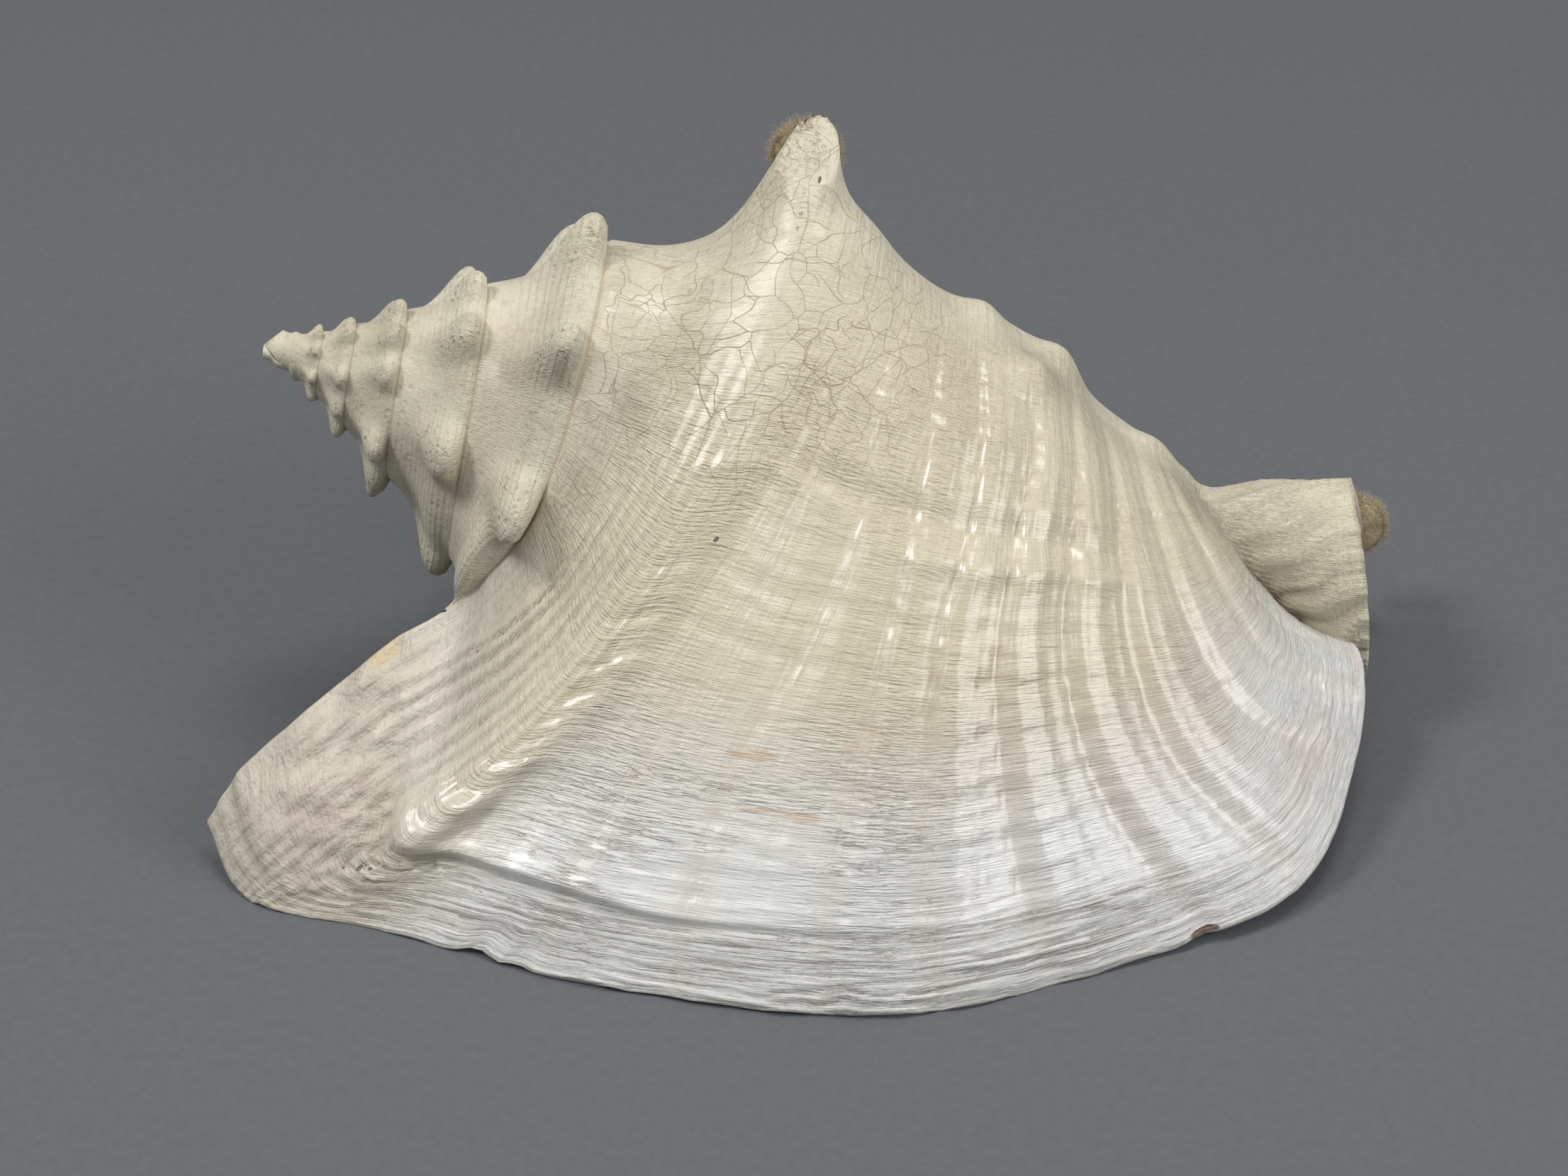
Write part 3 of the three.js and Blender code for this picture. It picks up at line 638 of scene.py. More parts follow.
def paint_fields(column, row, points):
    """Where each finish shows, from 0 to 1, over growth angle and V."""
    body = rise(column, 60, 108) * fall(row, 8.4, 9.8)
    ramp_gloss = 0.55 + 0.45 * rise(row, 1.4, 2.4)
    glaze = body * ramp_gloss * (1 - 0.45 * rise(column, 205, 216))
    glaze = glaze * (1 - 0.75 * rise(column, 196, 206) * fall(row, 1.2, 2.0))
    glaze = np.maximum(glaze, 0.35 * rise(row, 9.5, 10.5) * rise(column, 30, 60))
    rosy = sum(share * bell(column, at, width) * bell(row, middle, height)
               for at, middle, width, height, share in ROSY_SPOTS)
    crackle = rise(column, 58, 74) * fall(column + 9 * np.abs(row - 1.7), 128, 168) * fall(row, 3.9, 4.9)
    ramp_cracks = band(column, 96, 110, 158, 196) * fall(row, 0.7, 1.3)
    crackle = np.maximum(crackle, 0.75 * ramp_cracks)
    spine_tip = bell(column, 73, 9) * bell(along_axis(points), 97, 8)
    flaky = rise(column - shelf_angle(row), -1, 3) * rise(row, 1.4, 2.3)
    flaky = flaky * (1 - 0.7 * rise(row, 6.2, 7.4))
    white = rise(column, 160, 200) * rise(row, 1.9, 3.0)
    # Only a third of the lip white on the ramp and the lobe: partly the lobe's own pink, partly painted shade
    # where the lobe faces away from the lamps.
    white = np.maximum(white, 0.35 * rise(column, 168, 204) * fall(row, 2.4, 3.0))
    white = np.maximum(white, rise(column, 130, 190) * band(row, 6.8, 8.0, 9.2, 9.8))
    # groove holds painted shade: in the rib grooves, in the valleys between the cords and under the flakes.
    off = np.abs(row[..., None] - 0.03 - groove_lines(column)).min(axis=2)
    groove = bell(off, 0, 0.09) * rise(column, 104, 130) * (1 - 0.6 * rise(column, 200, 222))
    groove = groove * rise(row, 2.7, 3.4)
    wave, window = cord_wave(row - curve_through(*CORD_SLIDE, column))
    groove = np.maximum(groove, (wave < 0.45) * window * band(column, 130, 175, 203, 209))
    coarse, fine = flake_teeth(column, row)
    under_flakes = flaky * np.maximum(fall(coarse, 0.06, 0.2), 0.5 * fall(fine, 0.06, 0.2))
    # seam: a dark line painted along the suture, painted shade of its crease.
    seam = fall(row, 0.01, 0.06) * fall(column, 190, 200)
    groove = np.maximum(groove, 0.8 * under_flakes * rise(ripple(row * 5, column * 0.3, 25), -0.5, 0.3))
    lined = np.maximum(flaky, 0.9 * rise(column, 172, 192) * band(row, 2.55, 2.9, 4.8, 6.4))
    over, ring = from_break(points)
    broken = np.where((np.abs(over) < 1.2) & (ring < 9), fall(ring, 5.5, 8.5), 0)
    shape = np.broadcast_shapes(column.shape, row.shape)
    fields = {"glaze": glaze, "rosy": rosy, "crackle": crackle, "worn": spine_tip, "flaky": flaky,
              "white": white, "groove": groove, "inside": 0.0, "girth": 1.0,
              "lined": lined, "seam": seam, "broken": broken, "ring": np.minimum(ring, 12)}
    return {k: np.broadcast_to(f, shape) for k, f in fields.items()}


def pad_seats():
    """Middle of each pad's inner face; both pads are turned the same way."""
    return {"pad_spine": around(100, 73, 69), "pad_canal": around(CANAL_END + 12, 20, -12)}


def press_seats(points):
    """Points under a pad pushed down to just below the plane of its inner face."""
    for seat in pad_seats().values():
        offset = points - seat
        depth = offset @ SIDE
        spread = np.linalg.norm(offset - depth[..., None] * SIDE, axis=-1)
        under = (spread < PAD_RADIUS + 0.7) & (depth > -0.3) & (depth < PAD_THICKNESS + 6)
        points = points - np.where(under, depth + 0.3, 0)[..., None] * SIDE
    return points


def make_shell(options, origin):
    """All sheets of the shell in one quilt, joined point to point into one closed surface."""
    offsets, v = turn_offsets(), row_stations()
    turn = len(offsets)
    floor_row = int(np.searchsorted(v, FLOOR_FROM_V))
    spire_turns = SPIRE_TURNS - 1
    theta = (SPIRE_START + 360 * np.arange(SPIRE_TURNS)[:, None] + offsets).ravel()
    spire_theta = theta[:turn * spire_turns]
    body_theta = np.concatenate([
        theta[turn * spire_turns:], np.linspace(ATTACHED_TO, LIP_ANGLE, LIP_COLUMNS + 1)])
    spire_v = v[:KEEL_ROWS + 1:SPIRE_ROW_STEP]

    def settled(points):
        points = points - origin
        return np.concatenate([points[..., :2], np.maximum(points[..., 2:], 0)], axis=-1)

    # Spire: its last part blends into the body's own curve.
    spire = spire_surface(spire_theta, spire_v)
    blend = rise(spire_theta, BODY_START - 36, BODY_START)[:, None, None]
    spire = spire * (1 - blend) + body_surface(spire_theta, spire_v) * blend
    spire_column = spire_theta[:, None]
    spire = raise_knobs(spire, spire_column)

    # Body and lip: smooth surface, knobs, relief along the normals, worn and rounded lip edge.
    smooth = body_surface(body_theta, v)
    column, row = body_theta[:, None], v[None, :]
    body = raise_knobs(smooth, column)
    relief = options.rib_height * rib_relief(column, row) + options.cord_height * cord_relief(column, row)
    for part in (keel_relief, shelf_relief, flake_relief, growth_relief, lobe_relief, canal_relief,
                 seam_relief):
        relief = relief + part(column, row)
    attached = np.where(column > ATTACHED_TO, 1, rise(row, 0, 0.08))
    round_off = np.maximum(np.interp(column, *LIP_ROUNDING),
                           np.interp(row, *MARGIN_ROUNDING) * rise(column, ATTACHED_TO, 214))
    relief = relief * (rise(column, BODY_START, BODY_START + 20) * attached) - round_off
    body = body + face_normals(body) * relief[..., None]
    body = press_seats(slide_edge(body, column, row))
    fields = paint_fields(column, row, body)

    quilt = Quilt()
    plain = {key: 0.0 for key in fields}
    cavity = dict(plain, inside=1.0, glaze=0.9, rosy=0.6)
    x = along_axis(spire)
    size = np.linalg.norm(spire - axis_point(x), axis=-1)
    tips = rise(knob_field(spire_column, x) / (0.14 * size + 0.1), 0.4, 0.95)
    blush = rise(spire_column, -760, -300) * bell(spire_v, 0.7, 0.55)
    # A dark line painted along the spire's sutures: painted shade of the crease.
    seam = rise(spire_column, -1900, -1400) * (spire_v == 0)
    spire_fields = {k: np.broadcast_to(f, spire.shape[:2]) for k, f in dict(
        plain, worn=0.8 * tips, rosy=0.55 * blush, glaze=0.3 * blush, seam=seam,
        girth=np.clip(size / 42, 0.03, 1)).items()}

    body_ids = quilt.add(settled(body), fields)
    body_ids[0, KEEL_ROWS] = body_ids[turn, 0]
    own = quilt.add(settled(spire[:, :-1]), {k: f[:, :-1] for k, f in spire_fields.items()})
    sutures = np.concatenate([own[:, 0], body_ids[:turn + 1, 0]])
    spire_ids = np.concatenate([own, sutures[turn:turn + len(own), None]], axis=1)

    # The cavity: floor on the previous whorl, roof under the body's wall, joined along the floor's top.
    in_turn = np.arange(len(theta)) % turn
    coarse = np.flatnonzero(in_turn % INNER_COLUMN_STEP == 0)
    deep = int(np.flatnonzero(np.isclose(theta, 0))[0])
    floor_columns = coarse[(coarse >= deep - turn) & (coarse < turn * spire_turns)]
    floor_points = cavity_floor(theta[floor_columns], v[floor_row:])
    floor_ids = quilt.add(settled(floor_points), cavity)
    floor_ids = np.concatenate([floor_ids, body_ids[None, 0, floor_row:]])
    floor_theta = np.append(theta[floor_columns], BODY_START)

    roof_columns = np.concatenate([
        coarse[coarse >= deep] - turn * spire_turns, turn + np.arange(0, LIP_COLUMNS + 1, LIP_COLUMN_STEP)])
    roof = smooth - face_normals(smooth) * wall_thickness(column, row)[..., None]
    roof = slide_edge(roof, column, row)[roof_columns]
    roof_theta = body_theta[roof_columns]
    edge = rise(roof_theta, 218, 228)[:, None] + 0 * v[None, :]
    roof_ids = quilt.add(settled(roof), dict(cavity, white=edge, rosy=0.6 * (1 - edge)))
    roof_ids[:len(floor_ids), 0] = floor_ids[:, 0]

    # Sheets.
    quilt.sheet(spire_ids, spire_theta, spire_v)
    quilt.sheet(body_ids, body_theta, v)
    quilt.sheet(floor_ids, floor_theta, v[floor_row:])
    quilt.sheet(roof_ids, roof_theta, v, flip=True)
    quilt.sheet(np.stack([body_ids[-1], roof_ids[-1]]), np.array([LIP_ANGLE, LIP_ANGLE + 2.0]), v)
    for j in range(len(spire_v) - 1):
        rows = body_ids[0, j * SPIRE_ROW_STEP:(j + 1) * SPIRE_ROW_STEP + 1]
        quilt.polygon([spire_ids[-1, j], *rows, spire_ids[-1, j + 1]], BODY_START, spire_v[j])
    for k in range(LIP_COLUMNS // LIP_COLUMN_STEP):
        first, inner = turn + k * LIP_COLUMN_STEP, len(floor_ids) + k
        margin = body_ids[first:first + LIP_COLUMN_STEP + 1, 0][::-1]
        start = body_ids[0, KEEL_ROWS + 1:floor_row + 1] if k == 0 else roof_ids[inner - 1:inner, 0]
        quilt.polygon([*margin, *start, roof_ids[inner, 0]], body_theta[first], 0)
    for k in range(len(roof_columns) - 1):
        rim = body_ids[roof_columns[k]:roof_columns[k + 1] + 1, -1]
        quilt.polygon([*rim, roof_ids[k + 1, -1], roof_ids[k, -1]], roof_theta[k], V_RIM)

    # End wall deep in the cavity, end of the columella, and the apex.
    wall = roof_ids[0]
    for j in range(1, floor_row):
        quilt.polygon([floor_ids[0, 0], wall[j + 1], wall[j]], 0, v[j])
    for j in range(floor_row, len(v) - 1):
        quilt.polygon([wall[j + 1], wall[j], floor_ids[0, j - floor_row], floor_ids[0, j - floor_row + 1]],
                      0, v[j])
    core = int(quilt.add(settled(axis_point(CANAL_END - 1)[None]), plain)[0])
    ring = [*body_ids[:roof_columns[0] + 1, -1], roof_ids[0, -1], *floor_ids[:, -1]]
    for a, b in zip(ring[:-1], ring[1:]):
        quilt.polygon([a, b, core], BODY_START, V_RIM)
    for i in range(1, turn - 1):
        quilt.polygon([spire_ids[0, 0], spire_ids[i + 1, 0], spire_ids[i, 0]], SPIRE_START, 0)
    quilt.polygon([*spire_ids[0], spire_ids[turn - 1, 0]], SPIRE_START, 0)
    return quilt.mesh("shell")


# ---- felt pads ----
def pad_frame():
    """Three directions: out of the pad, and two along its faces."""
    return SIDE, ALONG, UP


def pad_body(seat, seed):
    """A disc with soft edges: radius and height over a profile angle, dented by ripples round the pad."""
    outward, first, second = pad_frame()
    turn = np.linspace(0, 2 * math.pi, 97)[:-1][None, :]
    profile = np.linspace(-math.pi / 2, math.pi / 2, 17)[:, None]
    half = PAD_THICKNESS / 2
    flat = np.abs(np.sin(profile)) ** 0.35 * np.sign(np.sin(profile))
    radius = (PAD_RADIUS - 0.35) * np.cos(profile) ** 0.18 + 0 * turn
    radius = radius + 0.16 * ripple(3 * np.cos(turn), 3 * np.sin(turn) + 2 * profile, seed)
    radius[[0, -1]] = 0
    height = half + (half - 0.2) * flat + 0 * turn
    height = height + 0.108 * ripple(4 * np.cos(turn) + radius, 4 * np.sin(turn), seed + 1)
    height = np.clip(height, 0.05, None)
    points = (seat + height[..., None] * outward
              + (radius * np.cos(turn))[..., None] * first + (radius * np.sin(turn))[..., None] * second)
    rings, sides = points.shape[:2]
    ids = np.arange(rings * sides).reshape(rings, sides)
    here, after = ids, np.roll(ids, -1, axis=1)
    quads = np.stack([here[2:-1], after[2:-1], after[1:-2], here[1:-2]], axis=-1).reshape(-1, 4)
    low, high = int(ids[0, 0]), int(ids[-1, 0])
    faces = quads.tolist()
    faces += [[low, int(a), int(b)] for a, b in zip(here[1], after[1])]
    faces += [[high, int(b), int(a)] for a, b in zip(here[-2], after[-2])]
    return points.reshape(-1, 3), faces


def pad_fibres(seat, count, length, seed):
    """Thin tapered hairs, three sides each, rooted all over the pad and bent by a random sideways pull."""
    outward, first, second = pad_frame()
    random = np.random.default_rng(seed)
    on_side = random.random(count) < 0.62
    turn = random.uniform(0, 2 * math.pi, count)
    reach = np.where(on_side, PAD_RADIUS - 0.55, (PAD_RADIUS - 0.6) * np.sqrt(random.random(count)))
    height = np.where(on_side, random.uniform(0.25, PAD_THICKNESS - 0.4, count), PAD_THICKNESS - 0.35)
    spoke = np.cos(turn)[:, None] * first + np.sin(turn)[:, None] * second
    root = seat + height[:, None] * outward + reach[:, None] * spoke
    lean = np.where(on_side[:, None], spoke, outward) + 0.55 * random.normal(size=(count, 3))
    lean /= np.linalg.norm(lean, axis=1)[:, None]
    pull = random.normal(size=(count, 3))
    pull -= (pull * lean).sum(axis=1)[:, None] * lean
    size = length * random.uniform(0.35, 1.0, count) ** 1.3
    t = np.array([0, 0.35, 0.7, 1.0])
    spine = (root[:, None] + lean[:, None] * (size[:, None] * t)[..., None]
             + pull[:, None] * (0.35 * size[:, None] * t**2)[..., None])
    side_a = np.cross(lean, pull)
    side_a /= np.linalg.norm(side_a, axis=1)[:, None]
    side_b = np.cross(lean, side_a)
    around_hair = 2 * math.pi * np.arange(3) / 3
    ring = (np.cos(around_hair)[:, None] * side_a[:, None] + np.sin(around_hair)[:, None] * side_b[:, None])
    thick = 0.055 * np.array([1.0, 0.85, 0.6])
    body = spine[:, :3, None] + thick[None, :, None, None] * ring[:, None]
    points = np.concatenate([body.reshape(count, 9, 3), spine[:, 3:]], axis=1)
    pattern = []
    for k in range(3):
        n = (k + 1) % 3
        pattern += [(k, n, 3 + n), (k, 3 + n, 3 + k), (3 + k, 3 + n, 6 + n), (3 + k, 6 + n, 6 + k),
                    (6 + k, 6 + n, 9)]
    pattern.append((2, 1, 0))
    faces = (10 * np.arange(count)[:, None, None] + np.array(pattern)).reshape(-1, 3)
    return points.reshape(-1, 3), faces.tolist()


def make_pad(name, seat, options, origin, seed):
    """Disc and hairs in one mesh, which stays in the space of the solid pad but for the hairs' ends."""
    points, faces = pad_body(seat, seed)
    hairs, hair_faces = pad_fibres(seat, options.fibres, options.fibre_length, seed + 2)
    shift = len(points)
    mesh = bpy.data.meshes.new(name)
    everything = np.concatenate([points, hairs]) - origin
    mesh.from_pydata(everything * MM, [], faces + [[i + shift for i in f] for f in hair_faces])
    mesh.polygons.foreach_set("use_smooth", np.ones(len(mesh.polygons), bool))
    mesh.update()
    return mesh


# ---- shader maths ----
def maths(operation):
    """A method that makes one Math node of the level and whatever it is given."""
    def method(level, *others):
        node = level.finish.node("ShaderNodeMath", {"operation": operation},
                                 dict(enumerate([level, *others])))
        return Level(level.finish, node.outputs[0])
    return method


class Level:
    """A number that changes over a surface; arithmetic on it adds Math nodes."""
    __add__ = __radd__ = maths("ADD")
    __sub__ = maths("SUBTRACT")
    __mul__ = __rmul__ = maths("MULTIPLY")
    __truediv__ = maths("DIVIDE")
    sine = maths("SINE")
    size = maths("ABSOLUTE")
    lower = maths("MINIMUM")
    upper = maths("MAXIMUM")

    def __init__(self, finish, socket):
        self.finish, self.socket = finish, socket

    def __rsub__(self, other):
        return self * -1 + other

    def rise(self, start, end):
        """0 at start, 1 at end, smooth in between; falls when end is below start."""
        node = self.finish.node("ShaderNodeMapRange", {"interpolation_type": "SMOOTHSTEP"},
                                {0: self, 1: start, 2: end, 3: 0.0, 4: 1.0})
        return Level(self.finish, node.outputs[0])


class Finish:
    """A material under construction."""

    def __init__(self, name):
        self.material = bpy.data.materials.new(name)
        self.material.use_nodes = True
        self.tree = self.material.node_tree
        self.tree.nodes.clear()

    def node(self, kind, settings=None, inputs=None):
        """Adds a node: settings are set first, then each input gets its value or link."""
        node = self.tree.nodes.new(kind)
        for key, value in (settings or {}).items():
            setattr(node, key, value)
        for key, value in (inputs or {}).items():
            if isinstance(value, Level):
                value = value.socket
            if isinstance(value, bpy.types.NodeSocket):
                self.tree.links.new(value, node.inputs[key])
            else:
                node.inputs[key].default_value = value
        return node

    def field(self, name):
        """A float attribute of the piece."""
        return Level(self, self.node("ShaderNodeAttribute", {"attribute_name": name}).outputs["Fac"])

    def place(self):
        """Object coordinates."""
        return self.node("ShaderNodeTexCoord").outputs["Object"]

    def along_growth(self):
        """Growth angle over 10 and V, from the piece's own UV map."""
        parts = self.node("ShaderNodeSeparateXYZ", None, {
            0: self.node("ShaderNodeUVMap", {"uv_map": "growth"}).outputs[0]})
        return Level(self, parts.outputs[0]), Level(self, parts.outputs[1])

    def vector(self, x, y, z=0.0):
        return self.node("ShaderNodeCombineXYZ", None, {0: x, 1: y, 2: z}).outputs[0]

    def noise(self, vector, scale, detail=2.0, roughness=0.5, distortion=0.0):
        node = self.node("ShaderNodeTexNoise", None, {
            "Vector": vector, "Scale": scale, "Detail": detail, "Roughness": roughness,
            "Distortion": distortion})
        return Level(self, node.outputs["Fac"])

    def cells(self, vector, scale, feature="DISTANCE_TO_EDGE"):
        node = self.node("ShaderNodeTexVoronoi", {"feature": feature}, {"Vector": vector, "Scale": scale})
        return Level(self, node.outputs["Distance"])

    def blend(self, amount, first, second):
        """Colour mix from first to second."""
        node = self.node("ShaderNodeMix", {"data_type": "RGBA"}, {
            0: amount, 6: colour(first), 7: colour(second)})
        return node.outputs[2]

    def surface(self, inputs, height):
        """Closes the material: height is the relief in mm."""
        bump = self.node("ShaderNodeBump", None, {"Strength": 1.0, "Distance": MM, "Height": height})
        shader = self.node("ShaderNodeBsdfPrincipled", None, dict(inputs, Normal=bump.outputs[0]))
        self.node("ShaderNodeOutputMaterial", None, {"Surface": shader.outputs[0]})
        return self.material


def colour(value):
    """A colour property as four numbers; links pass through."""
    if isinstance(value, bpy.types.NodeSocket):
        return value
    return (*tuple(value)[:3], 1.0)


# ---- finishes ----
def spots(turn, v, marks):
    """The strongest of a list of marks: each is 1 inside an ellipse over growth angle and V, 0 outside."""
    strongest = None
    for angle, at, width, height, strength in marks:
        across, along = (turn - angle / 10) / (width / 10), (v - at) / height
        mark = (across * across + along * along).rise(1.0, 0.55)
        mark = mark if strength == 1 else mark * strength
        strongest = mark if strongest is None else strongest.upper(mark)
    return strongest


def shell_finish(options):
    """Chalk on the old whorls, glaze on the body, white flaking layers at the lip, blush and cracks."""
    make = Finish("shell")
    turn, v = make.along_growth()
    place = make.place()
    glaze, rosy, crackle, worn, flaky, white, groove, inside, girth, lined, broken, ring, seam = (
        make.field(name) for name in (
            "glaze", "rosy", "crackle", "worn", "flaky", "white", "groove", "inside", "girth", "lined",
            "broken", "ring", "seam"))

    clouds = make.noise(place, 22.0, 3.0, 0.55)
    grain = make.noise(place, 900.0, 3.0, 0.65)
    streaks = make.noise(make.vector(turn * 8.0, v * 2.4), 1.0, 4.0, 0.6)
    fine_streaks = make.noise(make.vector(turn * 24.0, v * 4.0), 1.0, 2.0, 0.6)
    fine_threads = make.noise(make.vector(turn * 1.5, v * 34.0), 1.0, 2.0, 0.5)
    threads = make.noise(make.vector(turn * 0.5, v * 15.0), 1.0, 3.0, 0.6)
    layers = make.noise(make.vector(turn * 11.0, v * 1.1, clouds * 3.0), 1.0, 5.0, 0.7, 0.6)
    ledge = make.noise(make.vector(turn * 2.2, v * 0.38, clouds * 1.2), 1.0, 5.0, 0.6)
    swirl = make.noise(place, 42.0, 4.0, 0.6, 1.6)
    on_lobe = turn.rise(20.3, 21.0) * v.rise(2.3, 1.7)

    # Colour: from the chalky spire to the cream glaze, the white lip, the blush and the worn places, with
    # painted shade in the grooves, under the flakes and on the lobe, and the canal's cream painted lighter
    # where it lies in shade.
    tone = make.blend((clouds + streaks * 0.7).rise(0.55, 1.15), options.chalk, options.chalk_dark)
    cream = make.blend((clouds + threads * 0.6).rise(0.5, 1.1), options.cream, options.cream_dark)
    tone = make.blend(glaze * 0.9, tone, cream)
    tone = make.blend(white * (0.75 + 0.25 * clouds), tone, options.lip_white)
    patchy = (streaks * 0.5 + swirl * 1.2).rise(0.6, 1.1)
    tone = make.blend((rosy * patchy).lower(1.0) * 0.8, tone, options.blush)
    # Painted shade in the rib grooves, the cord valleys and under the flakes.
    tone = make.blend(groove * (0.25 + 0.5 * streaks.rise(0.45, 0.7)) * 0.8, tone, options.shade_and_dirt_tint)
    lines = layers.rise(0.43, 0.36) * flaky * 0.7
    ledges = (ledge - 0.5).size().rise(0.011, 0.002) * lined * clouds.rise(0.36, 0.55)
    ledges = ledges.upper((ledge - 0.42).size().rise(0.008, 0.001) * lined * 0.8)
    tone = make.blend(lines.upper(ledges) * 0.55, tone, options.shade_and_dirt_tint)
    dirt = make.noise(place, 120.0, 4.0, 0.65)
    tone = make.blend(worn * 0.25 * (1 - glaze).upper(0.0), tone, options.chalk_dark)
    chalky = (1 - glaze).lower(1.0) * (1 - white).lower(1.0) * (1 - flaky)
    tone = make.blend(chalky * dirt.rise(0.5, 0.68) * 0.3, tone, options.shade_and_dirt_tint)
    # The canal's warm cream, painted lighter than it is to make up for the shade it lies in.
    tone = make.blend(v.rise(9.4, 10.2) * (0.75 + 0.25 * streaks), tone, options.canal_cream_and_painted_light)
    # The lobe darkened in swirls: partly its own mottling, partly painted shade where it faces down and away
    # from the lamps.
    tone = make.blend(on_lobe * (0.2 + 0.35 * swirl), tone, options.shade_and_dirt_tint)

    # Fine cracks: the edges of stretched cells in two sizes, the smaller ones only in places; along the
    # suture a dark line of painted shade, the shade of its crease.
    drift = make.node("ShaderNodeTexNoise", None, {"Vector": place, "Scale": 90.0, "Detail": 2.0})
    bent = make.node("ShaderNodeVectorMath", {"operation": "MULTIPLY_ADD"}, {
        0: drift.outputs["Color"], 1: (0.009, 0.009, 0.009), 2: place}).outputs[0]
    wide_cells, small_cells = make.cells(bent, 58.0), make.cells(bent, 150.0)
    some = make.noise(place, 60.0, 1.0)
    long_cells = make.cells(make.vector(turn * 0.9 + clouds * 4.0, v * 2.3 + some * 2.0), 1.0)
    cracks = wide_cells.rise(0.0055, 0.0015) * some.rise(0.36, 0.44)
    cracks = cracks.upper(small_cells.rise(0.014, 0.005) * some.rise(0.48, 0.56) * 0.85)
    cracks = cracks.upper(long_cells.rise(0.010, 0.003) * some.rise(0.62, 0.5) * 0.9)
    # Along the suture a dark line is painted: the shade of its crease.
    cracks = (cracks * crackle).upper(seam.rise(0.5, 0.95) * 0.85)
    tone = make.blend(cracks * 0.56, tone, options.crack_dirt_and_seam_shade)

    # Pits of the worn knobs, small bore holes painted near black as the shade inside them, stains and the
    # chip at the edge.
    pitted = worn.upper(chalky * 0.35).upper(spots(turn, v, PITTED_STREAK))
    pits = make.cells(place, 620.0, "F1").rise(0.42, 0.2) * pitted
    pits = pits * make.noise(place, 260.0, 1.0).rise(0.42, 0.55)
    tone = make.blend(pits * 0.45, tone, options.crack_dirt_and_seam_shade)
    holes, chip = spots(turn, v, BORE_HOLES), spots(turn, v, EDGE_CHIP)
    stained = spots(turn, v, STAINS) * streaks.rise(0.35, 0.6) * 0.55
    # Bore holes painted near black: painted shade inside them.
    tone = make.blend(holes * 0.85, tone, options.hole_shade_tint)
    tone = make.blend(stained, tone, options.stain_tint)
    tone = make.blend(chip * (0.8 + 0.3 * grain), tone, options.chip_tint)
    tone = make.blend(spots(turn, v, YELLOW_MARGIN) * 0.5, tone, options.margin_tint)
    tone = make.blend(inside * 0.9, tone, make.blend(rosy.rise(0.1, 0.7), options.lip_white, options.throat))

    # Relief in millimetres.
    weave = ((v + 0.05 * streaks) * 34.9).sine() * (1 - glaze) * 0.10
    lively = (1 - groove * 0.7) * (0.55 + 0.9 * clouds.rise(0.38, 0.62))
    height = ((streaks - 0.5) * 0.5 * (0.35 + 0.65 * glaze) + (fine_streaks - 0.5) * 0.52) * lively
    height = height + (threads - 0.5) * 0.5 * (1 - 0.4 * glaze) * (1 - 0.85 * on_lobe)
    height = (height + (fine_threads - 0.5) * 0.16 + weave) * girth
    height = height + (swirl - 0.5) * 2.0 * on_lobe + (layers - 0.5) * 0.9 * flaky
    height = height - lines.upper(ledges) * 0.25 + (grain - 0.5) * 0.2 * (1 - 0.8 * glaze) * (1 + 3.0 * worn)
    height = height + (dirt - 0.5) * 0.9 * chalky
    height = height + (ring * 4.2).sine() * 0.16 * broken
    height = height - cracks * 0.12 - pits * 0.35 - holes * 1.2 - chip * 0.5
    height = height * (1 - 0.8 * inside)
    roughness = 0.78 - 0.5 * glaze + 0.12 * (streaks - 0.5) + 0.2 * flaky * glaze + 0.15 * cracks
    return make.surface({
        "Base Color": tone,
        "Roughness": roughness.upper(0.18).lower(0.95),
        "Coat Weight": (glaze * 0.9 - 0.45 * flaky - cracks).upper(0.0),
        "Coat Roughness": 0.2,
        "IOR": 1.5,
    }, height)


def felt_finish(options):
    """Golden brown wool: two tones in clouds and specks, with a soft sheen."""
    make = Finish("felt")
    place = make.place()
    clouds = make.noise(place, 240.0, 3.0, 0.6)
    specks = make.noise(place, 1500.0, 2.0, 0.7)
    tone = make.blend((clouds * 0.7 + specks * 0.5).rise(0.42, 0.78), options.felt_light, options.felt_dark)
    height = (clouds - 0.5) * 0.4 + (specks - 0.5) * 0.3
    return make.surface({
        "Base Color": tone,
        "Roughness": 0.9 + 0.08 * specks,
        "Sheen Weight": 0.35,
        "Sheen Roughness": 0.6,
    }, height)


def floor_finish(options):
    """Matt dark grey ground with a barely visible grain."""
    make = Finish("floor")
    place = make.place()
    grain = make.noise(place, 420.0, 3.0, 0.6)
    shade = [0.93 * part for part in options.floor_colour]
    tone = make.blend(grain.rise(0.35, 0.65), options.floor_colour, shade)
    return make.surface({"Base Color": tone, "Roughness": 0.85 + 0.1 * grain}, (grain - 0.5) * 0.08)


# ---- pieces and stage ----
def frame_shift():
    """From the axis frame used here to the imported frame, in mm: the pad on the spine is in both."""
    low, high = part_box("pad_spine")
    middle = (np.array(low) + np.array(high)) / 2 / MM
    return pad_seats()["pad_spine"] + PAD_THICKNESS / 2 * SIDE - middle


def add_piece(mesh, name, material, node):
    """A piece of the object: its mesh is already in place, so the object stays at the origin."""
    mesh.materials.append(material)
    piece = bpy.data.objects.new(name, mesh)
    bpy.context.scene.collection.objects.link(piece)
    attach(piece, "root")
    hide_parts(node)
    return piece


